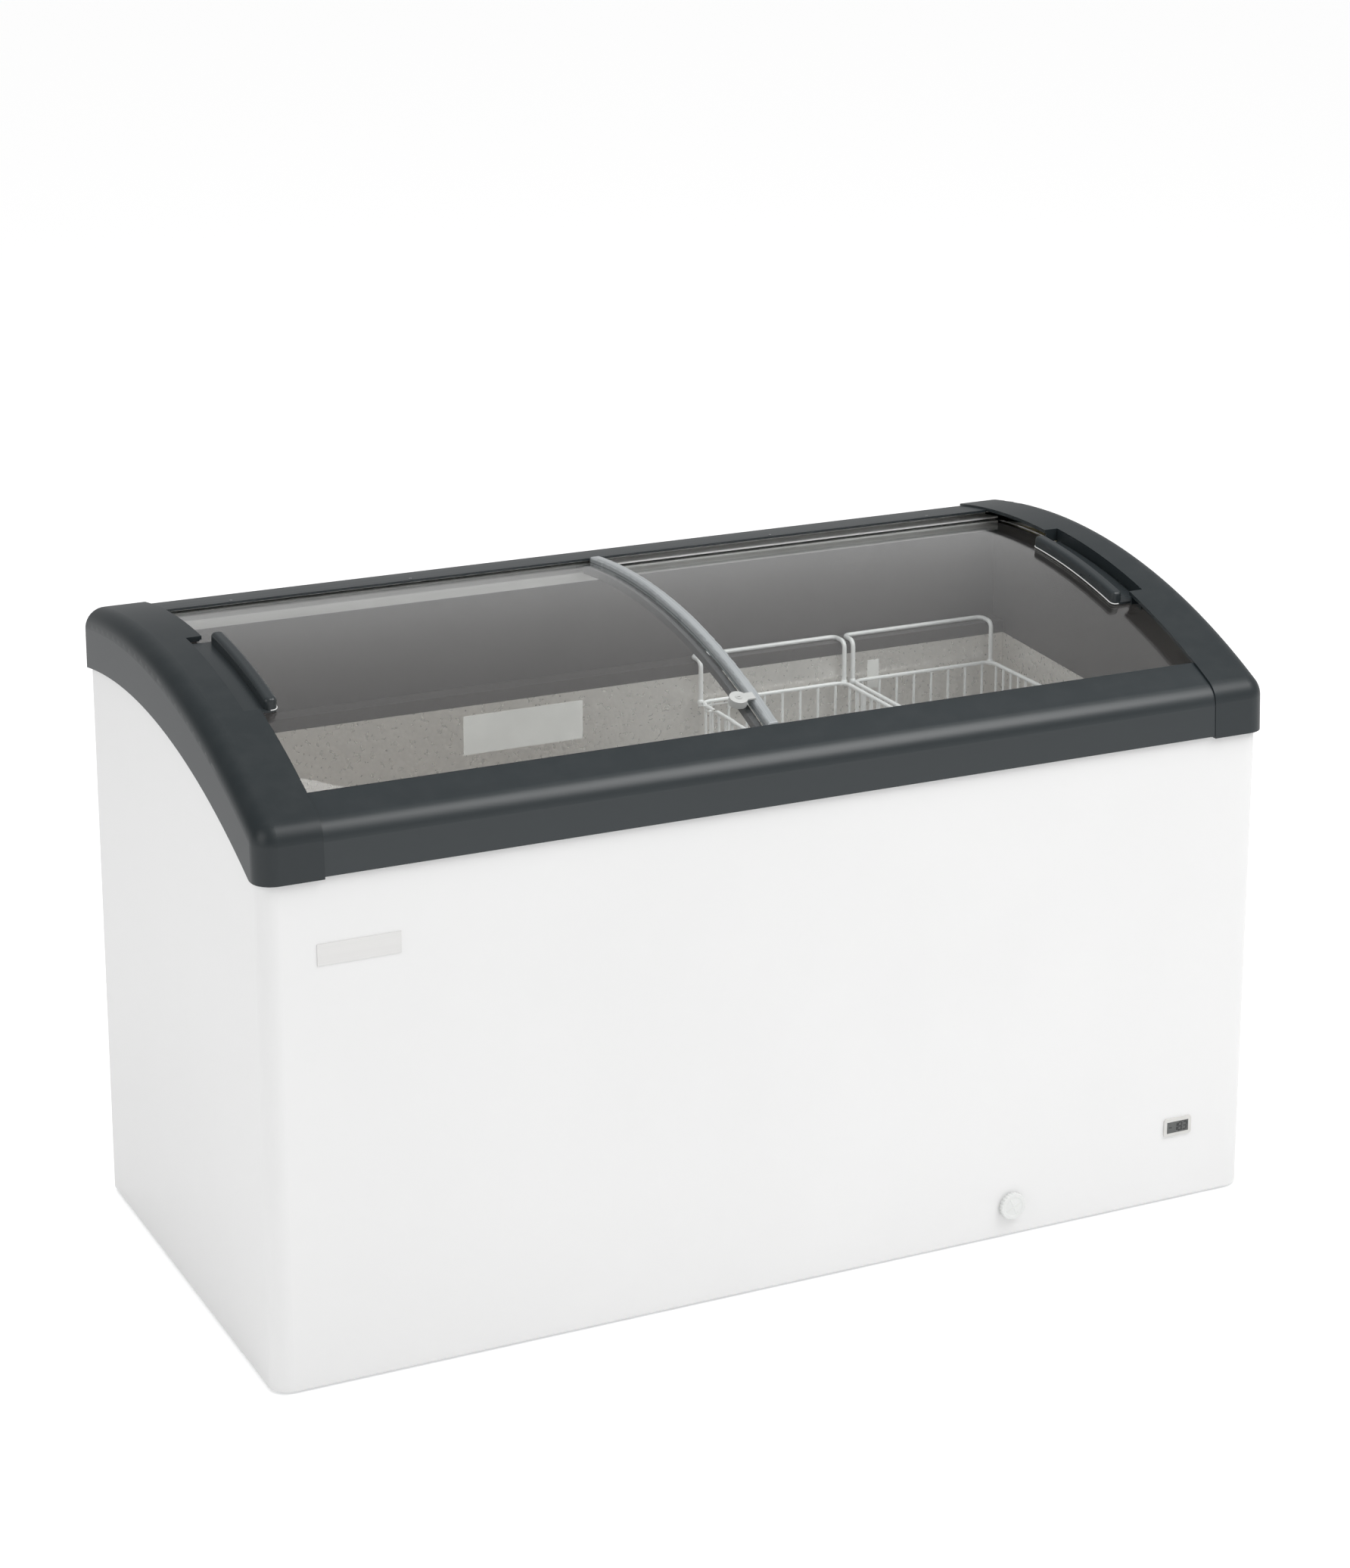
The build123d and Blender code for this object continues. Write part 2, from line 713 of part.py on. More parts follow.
def end_cap(lip_inset):
    """Right end cap, hollow from below, with its lip at lip_inset and a notch for the handle."""
    front = front_y - cap_reach
    back = back_y + cap_reach
    with BuildPart() as core:
        extrude(rim(front + cap_wall, back - cap_wall, cap_bottom + cap_wall, cap_wall,
                    front_roll - cap_wall, cap_inner + cap_wall),
                amount=half_width + seat_gap - cap_inner - cap_wall)
        fillet(outer_edges(core, cap_bottom + cap_wall, back - cap_wall), side_roll - cap_wall)
        extrude(under(front, back, 0, drop=cap_band - cap_wall, x=cap_inner), amount=cap_width,
                mode=CUT)
        extrude(band(notch_front - cap_wall, notch_back + cap_wall, -past, lip_inset, cap_inner),
                amount=notch_depth + cap_wall, mode=CUT)
    with BuildPart() as cap:
        extrude(rim(front, back, cap_bottom, 0, front_roll, cap_inner), amount=cap_width)
        fillet(outer_edges(cap, cap_bottom, back), side_roll)
        extrude(under(front - past, back + past, 0, drop=cap_band, x=cap_inner - past),
                amount=cap_width + 2 * past, mode=CUT)
        add(core.part, mode=CUT)
        extrude(under(rail_edge_front + seam, rail_edge_back - seam, 0, inset=lip_inset,
                      x=cap_inner - past), amount=cap_wall + past, mode=CUT)
        extrude(under(track_front - seam, track_back + seam, 0, inset=track_top - seam,
                      x=cap_inner - past), amount=cap_wall + past, mode=CUT)
        extrude(band(notch_front, notch_back, -past, cap_band, cap_inner - past),
                amount=notch_depth + past, mode=CUT)
        add(cabinet_space.part, mode=CUT)
    return cap.part


with BuildPart() as right_end_cap:
    add(end_cap(lower_lip))
save(right_end_cap, "right_end_cap")
with BuildPart() as left_end_cap:
    mirror(end_cap(upper_lip), about=Plane.YZ)
save(left_end_cap, "left_end_cap")


def lid_runners(left, right, inset):
    """Channels on a pane's front and back edges, open towards the pane."""
    with BuildPart() as channels:
        for front in (runner_front, runner_back - runner_width):
            extrude(band(front, front + runner_width, inset - runner_lip,
                         inset + pane + runner_lip, left), amount=right - left)
        extrude(band(pane_front - pane_gap, pane_back + pane_gap, inset - pane_gap,
                     inset + pane + pane_gap, left), amount=right - left, mode=CUT)
    return channels


def lid_handle(inset):
    """Right handle: a grip along the pane's end on a flat base."""
    middle = (handle_front + handle_back) / 2
    with BuildPart() as handle:
        extrude(band(handle_front, handle_back, inset - handle_height, inset - fit_gap,
                     handle_inner), amount=handle_grip)
        fillet(handle.edges().filter_by(Axis.Z), handle_end_round)
        crest = handle.faces().sort_by_distance(
            (handle_inner + handle_grip / 2, middle, curve(middle, inset - handle_height)))[0]
        fillet(crest.edges(), handle_round)
        extrude(band(handle_front, handle_back, inset - fit_gap - handle_base, inset - fit_gap,
                     handle_inner + handle_end_round),
                amount=handle_outer - handle_inner - handle_end_round)
    return handle.part


# Upper lid, on the left
with BuildPart() as left_lid_glass:
    extrude(band(pane_front, pane_back, upper_inset, upper_inset + pane, -lid_end),
            amount=lid_end + lid_overlap_left)
    with Locations(lock_plane):
        Cylinder(barrel_hole / 2, 4 * pane, mode=CUT)
save(left_lid_glass, "left_lid_glass")
left_lid_runners = lid_runners(-lid_end + runner_inset, lid_overlap_left - runner_inset, upper_inset)
save(left_lid_runners, "left_lid_runners")
with BuildPart() as left_lid_handle:
    mirror(lid_handle(upper_inset), about=Plane.YZ)
save(left_lid_handle, "left_lid_handle")

with BuildPart() as left_lid_bar:
    extrude(band(bar_front, bar_back, upper_inset - bar_height, upper_inset + pane + bar_foot,
                 bar_left), amount=bar_width)
    crest = left_lid_bar.faces().sort_by_distance(
        (bar_left + bar_width / 2, bar_middle, curve(bar_middle, upper_inset - bar_height)))[0]
    fillet(crest.edges(), bar_round)
    extrude(band(bar_front - past, bar_back + past, upper_inset - seam, upper_inset + pane + seam,
                 bar_left - past), amount=lid_overlap_left + seam - bar_left + past, mode=CUT)
save(left_lid_bar, "left_lid_bar")

with BuildPart() as centre_seal:
    extrude(band(bar_front, bar_back, upper_inset + pane + bar_foot, lower_inset - seal_gap,
                 seal_left), amount=seal_width)
save(centre_seal, "centre_seal")

with BuildPart() as lock_housing:
    with BuildSketch(lock_plane):
        Circle(lock_diameter / 2)
    extrude(amount=lock_height)
    with BuildSketch(lock_plane.offset(bar_height + seam)):
        with Locations((nib_end / 2, 0)):
            Rectangle(nib_end, lock_nib_width)
    extrude(amount=lock_height - bar_height - seam)
    with Locations(lock_plane):
        Cylinder(barrel_diameter / 2 + barrel_gap, 4 * lock_height, mode=CUT)
save(lock_housing, "lock_housing")

with BuildPart() as lock_barrel:
    with BuildSketch(lock_plane.offset(lock_height + barrel_proud)):
        Circle(barrel_diameter / 2)
    extrude(amount=-barrel_length)
    with BuildSketch(lock_plane.offset(lock_height + barrel_proud)):
        Rectangle(keyway[0], keyway[1])
    extrude(amount=-keyway[2], mode=CUT)
save(lock_barrel, "lock_barrel")

# Lower lid, on the right
with BuildPart() as right_lid_glass:
    extrude(band(pane_front, pane_back, lower_inset, lower_inset + pane, -lid_overlap_right),
            amount=lid_end + lid_overlap_right)
save(right_lid_glass, "right_lid_glass")
right_lid_runners = lid_runners(-lid_overlap_right + runner_inset, lid_end - runner_inset,
                                lower_inset)
save(right_lid_runners, "right_lid_runners")
with BuildPart() as right_lid_handle:
    add(lid_handle(lower_inset))
save(right_lid_handle, "right_lid_handle")

with BuildPart() as right_lid_edge:
    extrude(band(rail_edge_front + edge_end_gap, rail_edge_back - edge_end_gap,
                 lower_inset - edge_height, lower_inset + pane + edge_height, edge_left),
            amount=edge_width)
    extrude(band(rail_edge_front, rail_edge_back, lower_inset - seam, lower_inset + pane + seam,
                 -lid_overlap_right - seam), amount=edge_width, mode=CUT)
save(right_lid_edge, "right_lid_edge")


def grille(plane, width, height, columns, rows, top_bar):
    """Flat net of bars, standing on the plane's origin, as thick as a basket's panel."""
    gap_width = (width - (columns + 1) * rib) / columns
    gap_height = (height - top_bar - rows * rib) / rows
    with BuildPart() as net:
        with BuildSketch(plane):
            with Locations((0, height / 2)):
                Rectangle(width, height)
            for row in range(rows):
                with Locations((0, rib + row * (rib + gap_height) + gap_height / 2)):
                    with GridLocations(gap_width + rib, 1, columns, 1):
                        Rectangle(gap_width, gap_height, mode=CUT)
        extrude(amount=panel)
    return net.part


def basket(left):
    """Basket of five flat nets with narrow seams."""
    middle = left + basket_width / 2
    low = basket_rim - basket_height
    length = basket_back - basket_front
    wall = basket_height - panel - seam
    end_width = basket_width - 2 * panel - 2 * seam
    with BuildPart() as nets:
        add(grille(Plane(origin=(middle, basket_front, low)), basket_width, length,
                   floor_columns, floor_rows, rib))
        for x in (left, left + basket_width - panel):
            add(grille(Plane(origin=(x, (basket_front + basket_back) / 2, low + panel + seam),
                             x_dir=(0, 1, 0), z_dir=(1, 0, 0)), length, wall, side_columns,
                       basket_rows, rim_bar))
        for y in (basket_front + panel, basket_back):
            add(grille(Plane(origin=(middle, y, low + panel + seam), x_dir=(1, 0, 0),
                             z_dir=(0, -1, 0)), end_width, wall, end_columns, basket_rows,
                       rim_bar))
    return nets


def basket_hangers(left):
    """Bent wires on a basket's rim that hook over the ledges in front and behind."""
    first = left + hanger_inset
    last = left + basket_width - hanger_inset
    level = ledge_height + seat_gap + hanger_wire / 2
    with BuildPart() as wires:
        for post, bar in ((basket_front + panel / 2, rail_edge_front + hanger_bar_gap),
                          (basket_back - panel / 2, collar_back - hanger_bar_gap)):
            add(pipe([(first, post, basket_rim), (first, post, level), (first, bar, level),
                      (last, bar, level), (last, post, level), (last, post, basket_rim)],
                     hanger_wire, hanger_bend))
    return wires


left_basket = basket(basket_left)
save(left_basket, "left_basket")
left_basket_hangers = basket_hangers(basket_left)
save(left_basket_hangers, "left_basket_hangers")
right_basket = basket(basket_left + basket_pitch)
save(right_basket, "right_basket")
right_basket_hangers = basket_hangers(basket_left + basket_pitch)
save(right_basket_hangers, "right_basket_hangers")

# Drain: tube under the floor, seat in the wrap, screw cap and floor plug
with BuildPart() as drain_tube:
    for diameter, mode in ((drain_pipe, Mode.ADD), (drain_bore, CUT)):
        rod((drain_x, drain_y, drain_height), (drain_x, drain_y, floor_height - liner), diameter,
            mode)
        rod((drain_x, drain_y, drain_height), (drain_x, drain_seat_end, drain_height), diameter,
            mode)
        with Locations((drain_x, drain_y, drain_height)):
            Sphere(diameter / 2, mode=mode)
save(drain_tube, "drain_tube")

with BuildPart() as drain_seat:
    rod((drain_x, drain_seat_end, drain_height),
        (drain_x, front_y - drain_neck_length, drain_height), drain_neck)
    rod((drain_x, front_y, drain_height), (drain_x, front_y - drain_flange_depth, drain_height),
        drain_flange)
    rod((drain_x, drain_seat_end, drain_height),
        (drain_x, front_y - drain_neck_length, drain_height), drain_bore, CUT)
save(drain_seat, "drain_seat")

with BuildPart() as drain_cap:
    with BuildSketch(Plane(origin=(drain_x, front_y - drain_flange_depth - seat_gap, drain_height),
                           x_dir=(1, 0, 0), z_dir=(0, -1, 0))):
        Circle(drain_cap_diameter / 2)
        with PolarLocations(drain_cap_diameter / 2, drain_flutes):
            Circle(flute_diameter / 2, mode=CUT)
    extrude(amount=drain_cap_reach - drain_flange_depth - seat_gap)
    rod((drain_x, front_y, drain_height),
        (drain_x, front_y - drain_neck_length - seat_gap, drain_height),
        drain_neck + 2 * barrel_gap, CUT)
save(drain_cap, "drain_cap")

with BuildPart() as floor_plug:
    rod((drain_x, drain_y, floor_height + seat_gap), (drain_x, drain_y, floor_height - plug_length),
        plug_shank)
    rod((drain_x, drain_y, floor_height + seat_gap),
        (drain_x, drain_y, floor_height + seat_gap + plug_head), plug_flange)
save(floor_plug, "floor_plug")

# Display with its probe over the step
with BuildPart() as lcd_housing:
    block((display_x - bezel[0] / 2, display_x + bezel[0] / 2), (front_y - bezel[2], front_y),
          (display_height - bezel[1] / 2, display_height + bezel[1] / 2))
    fillet(lcd_housing.edges().filter_by(Axis.Y), bezel_round)
    block((display_x - display_body[0] / 2, display_x + display_body[0] / 2),
          (front_y, front_y + display_body[2]),
          (display_height - display_body[1] / 2, display_height + display_body[1] / 2))
    block((display_x - screen[0] / 2 - fit_gap, display_x + screen[0] / 2 + fit_gap),
          (front_y - bezel[2] - past, screen_back),
          (display_height - screen[1] / 2 - fit_gap, display_height + screen[1] / 2 + fit_gap), CUT)
save(lcd_housing, "lcd_housing")

with BuildPart() as lcd_screen:
    block((display_x - screen[0] / 2, display_x + screen[0] / 2),
          (screen_back - screen[2], screen_back),
          (display_height - screen[1] / 2, display_height + screen[1] / 2))
save(lcd_screen, "lcd_screen")

with BuildPart() as probe_lead:
    add(pipe([(display_x, front_y + display_body[2], display_height),
              (display_x, lead_y, display_height), (display_x, lead_y, step_height + liner)],
             lead_diameter, lead_bend))
save(probe_lead, "probe_lead")

with BuildPart() as temperature_probe:
    rod((display_x, lead_y, step_height + liner),
        (display_x, lead_y, step_height + liner + probe_length), probe_diameter)
    fillet(temperature_probe.edges().sort_by(Axis.Z)[-1], probe_round)
save(temperature_probe, "temperature_probe")

# Machine room under the step
with BuildPart() as machine_partition:
    extrude(plan(skin + fit_gap, back_y - skin - fit_gap, base_top), amount=room_height - base_top)
    block((-half_width, room_x), (front_y, back_y), (0, crown_height), CUT)
    block((room_x + room_sheet, half_width), (front_y, back_y), (0, room_height - room_sheet), CUT)
    rod((display_x, lead_y, room_height - room_sheet - past),
        (display_x, lead_y, room_height + past), lead_hole, CUT)
save(machine_partition, "machine_partition")

with BuildPart() as machine_cover:
    block((cover_left, cover_right), (back_y, cover_face), (cover_low, cover_high))
    with Locations(*[(louvre_x, back_y, louvre_low + row * louvre_pitch)
                     for row in range(louvre_count)]):
        Box(louvre_length, 4 * cover_sheet, louvre_height, mode=CUT)
    for x, z in cover_screw_places:
        rod((x, back_y - past, z), (x, cover_face + past, z), cover_screw + seam, CUT)
    rod((knob_x, back_y - past, knob_height), (knob_x, cover_face + past, knob_height),
        knob_shaft + 2 * seam, CUT)
    rod((gland_x, back_y - past, gland_height), (gland_x, cover_face + past, gland_height),
        gland_diameter + seam, CUT)
save(machine_cover, "machine_cover")

with BuildPart() as cover_screws:
    for x, z in cover_screw_places:
        rod((x, cover_face, z), (x, cover_face + cover_screw_head_height, z), cover_screw_head)
        rod((x, cover_face, z), (x, cover_face - cover_screw_length, z), cover_screw)
save(cover_screws, "cover_screws")

with BuildPart() as thermostat_body:
    block((knob_x - thermostat[0] / 2, knob_x + thermostat[0] / 2),
          (back_y - thermostat[1], back_y),
          (knob_height - thermostat[2] / 2, knob_height + thermostat[2] / 2))
    rod((knob_x, back_y, knob_height), (knob_x, back_y - knob_shaft_length - past, knob_height),
        knob_shaft + 2 * barrel_gap, CUT)
save(thermostat_body, "thermostat_body")

with BuildPart() as thermostat_knob:
    rod((knob_x, cover_face + seat_gap, knob_height),
        (knob_x, knob_back, knob_height), knob_diameter)
    rod((knob_x, cover_face + seat_gap, knob_height),
        (knob_x, back_y - knob_shaft_length, knob_height), knob_shaft)
    block((knob_x - knob_mark[0] / 2, knob_x + knob_mark[0] / 2),
          (knob_back - knob_mark[1], knob_back + past), (knob_height, knob_height + knob_diameter), CUT)
save(thermostat_knob, "thermostat_knob")

with BuildPart() as cord_gland:
    rod((gland_x, cover_face, gland_height), (gland_x, cover_face + gland_reach, gland_height),
        gland_head)
    rod((gland_x, cover_face, gland_height), (gland_x, back_y - gland_shank, gland_height),
        gland_diameter)
    rod((gland_x, back_y - gland_shank, gland_height),
        (gland_x, cover_face + gland_reach, gland_height), gland_bore, CUT)
save(cord_gland, "cord_gland")

with BuildPart() as terminal_box:
    block((terminal_x - terminal[0] / 2, terminal_x + terminal[0] / 2),
          (terminal_y - terminal[1] / 2, terminal_y + terminal[1] / 2),
          (base_top, base_top + terminal[2]))
save(terminal_box, "terminal_box")

with BuildPart() as compressor:
    rod((compressor_x, compressor_y, compressor_bottom), (compressor_x, compressor_y, compressor_top),
        2 * compressor_radius)
    fillet(compressor.edges().sort_by(Axis.Z)[-1], compressor_crown)
    fillet(compressor.edges().sort_by(Axis.Z)[0], compressor_foot)
    block((compressor_x - plate[0] / 2, compressor_x + plate[0] / 2),
          (compressor_y - plate[1] / 2, compressor_y + plate[1] / 2),
          (compressor_bottom - plate[2], compressor_bottom))
    for x, y in bolt_places:
        rod((x, y, base_top), (x, y, compressor_bottom + past), bolt_diameter + seam, CUT)
save(compressor, "compressor")

with BuildPart() as compressor_grommets:
    for x, y in bolt_places:
        rod((x, y, base_top), (x, y, compressor_bottom - plate[2]), grommet_diameter)
        rod((x, y, base_top), (x, y, compressor_bottom - plate[2]), bolt_diameter + seam, CUT)
save(compressor_grommets, "compressor_grommets")

with BuildPart() as compressor_bolts:
    for x, y in bolt_places:
        rod((x, y, cabinet_bottom), (x, y, compressor_bottom), bolt_diameter)
        with BuildSketch(Plane(origin=(x, y, compressor_bottom))):
            RegularPolygon(bolt_head / 2, 6, major_radius=False)
        extrude(amount=bolt_head_height)
save(compressor_bolts, "compressor_bolts")

with BuildPart() as relay_cover:
    block((compressor_x - relay[0] / 2, compressor_x + relay[0] / 2),
          (compressor_y - compressor_radius - relay[1] / 2,
           compressor_y - compressor_radius + relay[1] / 2), (relay_low, relay_low + relay[2]))
    rod((compressor_x, compressor_y, 0), (compressor_x, compressor_y, crown_height),
        2 * (compressor_radius + seat_gap), CUT)
save(relay_cover, "relay_cover")

with BuildPart() as filter_drier:
    rod((drier_x, drier_y, drier_low), (drier_x, drier_y, drier_low + drier_length), drier_diameter)
    rod((drier_x, drier_y, drier_low - drier_stub), (drier_x, drier_y, room_height - room_sheet),
        discharge_diameter)
save(filter_drier, "filter_drier")

with BuildPart() as suction_pipe:
    rod((compressor_x - compressor_radius, compressor_y, pipe_height),
        (room_x + room_sheet, compressor_y, pipe_height), suction_diameter)
save(suction_pipe, "suction_pipe")

with BuildPart() as discharge_pipe:
    add(pipe([(compressor_x + compressor_radius, compressor_y, pipe_height),
              (compressor_x + compressor_radius + discharge_reach, compressor_y, pipe_height),
              (compressor_x + compressor_radius + discharge_reach, compressor_y,
               room_height - room_sheet)], discharge_diameter, discharge_bend))
save(discharge_pipe, "discharge_pipe")

# Tubes in the foam: the evaporator round the tub, the condenser behind the wrap
evaporator_reach = evaporator_bend - (evaporator_bend - evaporator_tube / 2 - seat_gap) / sqrt(2)
evaporator_x = liner_side + evaporator_reach
evaporator_front = tub_front - liner - evaporator_reach
evaporator_back = tub_back + liner + evaporator_reach
evaporator_room = evaporator_tube / 2 + seat_gap
evaporator_points = []
for turn in range(evaporator_turns):
    height = evaporator_low + turn * evaporator_pitch
    evaporator_points += [(evaporator_x, evaporator_back, height),
                          (evaporator_x, evaporator_front, height),
                          (-evaporator_x, evaporator_front, height),
                          (-evaporator_x, evaporator_back, height)]
with BuildPart() as evaporator_coil:
    add(pipe(evaporator_points, evaporator_tube, evaporator_bend))
save(evaporator_coil, "evaporator_coil")

condenser_x = half_width - skin - seat_gap - condenser_tube / 2
condenser_front = front_y + skin + seat_gap + condenser_tube / 2
condenser_back = back_y - condenser_back_gap
condenser_points = []
for turn in range(condenser_turns):
    height = condenser_low + turn * condenser_pitch
    side = 1 if turn % 2 == 0 else -1
    condenser_points += [(side * condenser_x, condenser_back, height),
                         (side * condenser_x, condenser_front, height),
                         (-side * condenser_x, condenser_front, height),
                         (-side * condenser_x, condenser_back, height)]
with BuildPart() as condenser_coil:
    add(pipe(condenser_points, condenser_tube, condenser_bend))
save(condenser_coil, "condenser_coil")

# Foam between the liner and the wrap
condenser_inside = skin + seat_gap + condenser_tube + channel
condenser_height = (condenser_turns - 1) * condenser_pitch + condenser_tube + 2 * channel
with BuildPart() as condenser_room:
    extrude(plan(skin, condenser_back + condenser_tube + channel,
                 condenser_low - condenser_tube / 2 - channel), amount=condenser_height)
    extrude(plan(condenser_inside, back_y, 0), amount=crown_height, mode=CUT)

with BuildPart() as wall_foam:
    extrude(plan(skin + fit_gap, back_y - skin - fit_gap, base_top + fit_gap), amount=crown_height)
    extrude(under(front_y, back_y, 0, drop=foam_drop, x=-half_width), amount=cabinet_width,
            mode=Mode.INTERSECT)
    block((-liner_side - fit_gap, step_x + liner + fit_gap),
          (tub_front - liner - fit_gap, tub_back + liner + fit_gap),
          (floor_height - liner - fit_gap, crown_height), CUT)
    block((step_x, liner_side + fit_gap), (tub_front - liner - fit_gap, tub_back + liner + fit_gap),
          (step_height - liner - fit_gap, crown_height), CUT)
    add(collar_room(fit_gap, -tub_side - collar_wall - fit_gap,
                    2 * (tub_side + collar_wall + fit_gap)), mode=CUT)
    block((-evaporator_x - evaporator_room, evaporator_x + evaporator_room),
          (evaporator_front - evaporator_room, evaporator_back + evaporator_room),
          (evaporator_low - evaporator_room,
           evaporator_low + (evaporator_turns - 1) * evaporator_pitch + evaporator_room), CUT)
    add(condenser_room.part, mode=CUT)
    block((room_x - fit_gap, half_width), (front_y, back_y), (0, room_height + fit_gap), CUT)
    rod((drain_x, drain_y + drain_pipe / 2 + seam, drain_height), (drain_x, front_y, drain_height),
        drain_pipe + 2 * seam, CUT)
    rod((drain_x, front_y, drain_height), (drain_x, drain_seat_end + seam, drain_height),
        drain_neck + 2 * seam, CUT)
    rod((drain_x, drain_y, drain_height - drain_pipe / 2 - seam), (drain_x, drain_y, floor_height),
        drain_pipe + 2 * seam, CUT)
    rod((display_x, lead_y, room_height - past), (display_x, lead_y, step_height),
        lead_diameter + 2 * seam, CUT)
    for x, y in glide_places:
        rod((x, y, 0), (x, y, foot_screw_top + seam), foot_screw + 2 * seam, CUT)
save(wall_foam, "wall_foam")

# Feet
with BuildPart() as foot_glides:
    for x, y in glide_places:
        rod((x, y, 0), (x, y, foot_height), glide_diameter)
        rod((x, y, 0), (x, y, foot_height), foot_screw + seam, CUT)
        rod((x, y, 0), (x, y, foot_screw_seat + foot_screw_head_height), foot_screw_head + 2 * seam,
            CUT)
save(foot_glides, "foot_glides")

with BuildPart() as foot_screws:
    for x, y in glide_places:
        rod((x, y, foot_screw_seat), (x, y, foot_screw_seat + foot_screw_head_height),
            foot_screw_head)
        rod((x, y, foot_screw_seat), (x, y, foot_screw_top), foot_screw)
save(foot_screws, "foot_screws")

# Bare plate where the badge sits, and bare labels on the tub's back wall
with BuildPart() as badge_plate:
    block((badge_x - badge[0] / 2, badge_x + badge[0] / 2), (front_y - badge[1], front_y),
          (badge_height - badge[2] / 2, badge_height + badge[2] / 2))
save(badge_plate, "badge_plate")

with BuildPart() as liner_labels:
    for size, x, height in ((notice, -notice_left, notice_height),
                            (load_strip, load_strip_x, load_strip_height)):
        block((x - size[0] / 2, x + size[0] / 2), (tub_back - size[1], tub_back),
              (height - size[2] / 2, height + size[2] / 2))
save(liner_labels, "liner_labels")
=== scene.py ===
import json
import math
import bmesh
import bpy
import numpy as np
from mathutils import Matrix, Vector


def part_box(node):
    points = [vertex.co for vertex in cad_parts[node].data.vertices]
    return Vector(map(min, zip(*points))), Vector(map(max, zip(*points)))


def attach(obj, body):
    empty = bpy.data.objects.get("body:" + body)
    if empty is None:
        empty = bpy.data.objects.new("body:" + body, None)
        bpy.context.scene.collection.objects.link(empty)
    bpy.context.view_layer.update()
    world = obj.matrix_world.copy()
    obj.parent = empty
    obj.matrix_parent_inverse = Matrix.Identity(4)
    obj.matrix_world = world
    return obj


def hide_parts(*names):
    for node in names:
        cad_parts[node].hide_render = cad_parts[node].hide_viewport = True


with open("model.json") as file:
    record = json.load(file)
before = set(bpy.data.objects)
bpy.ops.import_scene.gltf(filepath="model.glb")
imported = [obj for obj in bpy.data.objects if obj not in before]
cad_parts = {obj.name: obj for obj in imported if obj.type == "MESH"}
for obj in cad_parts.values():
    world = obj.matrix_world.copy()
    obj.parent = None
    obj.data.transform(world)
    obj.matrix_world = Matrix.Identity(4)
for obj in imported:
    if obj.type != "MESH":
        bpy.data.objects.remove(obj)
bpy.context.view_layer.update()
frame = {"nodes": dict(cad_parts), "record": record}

nodes = frame["nodes"]
mm = 0.001
print("frame loaded with", len(nodes), "nodes")


# Shader node groups: each effect is built once and placed in every material that shows it.
# Shade and Height run from 0 to 1. Scales are in repeats per metre.

# A new group, the sockets of what it is given and the sockets that its results go to
def startGroup(name, inputs, outputs=("Shade", "Height")):
    group = bpy.data.node_groups.new(name, "ShaderNodeTree")
    group.interface.new_socket(name="Vector", in_out="INPUT", socket_type="NodeSocketVector")
    for label, value in inputs.items():
        kind = "NodeSocketFloat" if isinstance(value, float) else "NodeSocketVector"
        group.interface.new_socket(name=label, in_out="INPUT", socket_type=kind).default_value = value
    for label in outputs:
        group.interface.new_socket(name=label, in_out="OUTPUT", socket_type="NodeSocketFloat")
    return group, group.nodes.new("NodeGroupInput").outputs, group.nodes.new("NodeGroupOutput").inputs


# A new node whose inputs are set to a value or linked to another node's socket
def addNode(tree, kind, inputs=(), **settings):
    node = tree.nodes.new(kind)
    for key, value in settings.items():
        setattr(node, key, value)
    for socket, value in inputs:
        if isinstance(value, bpy.types.NodeSocket):
            tree.links.new(value, node.inputs[socket])
        else:
            node.inputs[socket].default_value = value
    return node


def noise(tree, vector, scale, detail=4.0, rough=0.55, warp=0.0):
    return addNode(tree, "ShaderNodeTexNoise",
                   [("Vector", vector), ("Scale", scale), ("Detail", detail), ("Roughness", rough),
                    ("Distortion", warp)]).outputs[0]


def mapRange(tree, value, low, high, toLow=0.0, toHigh=1.0):
    return addNode(tree, "ShaderNodeMapRange",
                   [("Value", value), ("From Min", low), ("From Max", high), ("To Min", toLow),
                    ("To Max", toHigh)]).outputs["Result"]


def mathNode(tree, operation, first, second):
    return addNode(tree, "ShaderNodeMath", [(0, first), (1, second)], operation=operation).outputs[0]


def vectorMath(tree, operation, *inputs):
    return addNode(tree, "ShaderNodeVectorMath", inputs, operation=operation).outputs[0]


def mixColour(tree, factor, first, second):
    return addNode(tree, "ShaderNodeMix", [(0, factor), (6, first), (7, second)],
                   data_type="RGBA").outputs[2]


# The given share of the first value with the rest of the second
def weigh(tree, first, second, share):
    return mathNode(tree, "ADD", mathNode(tree, "MULTIPLY", first, share),
                    mathNode(tree, "MULTIPLY", second, 1.0 - share))


# Fine moulded grain over slow cloudy mottling, as on injection moulded plastic
mouldGrain, given, result = startGroup("mouldGrain", {"Grain": 900.0, "Cloud": 9.0})
grain = noise(mouldGrain, given["Vector"], given["Grain"], detail=3.0)
cloud = noise(mouldGrain, given["Vector"], given["Cloud"], detail=5.0, rough=0.6, warp=0.4)
mouldGrain.links.new(grain, result["Height"])
mouldGrain.links.new(mapRange(mouldGrain, cloud, low=0.3, high=0.7), result["Shade"])

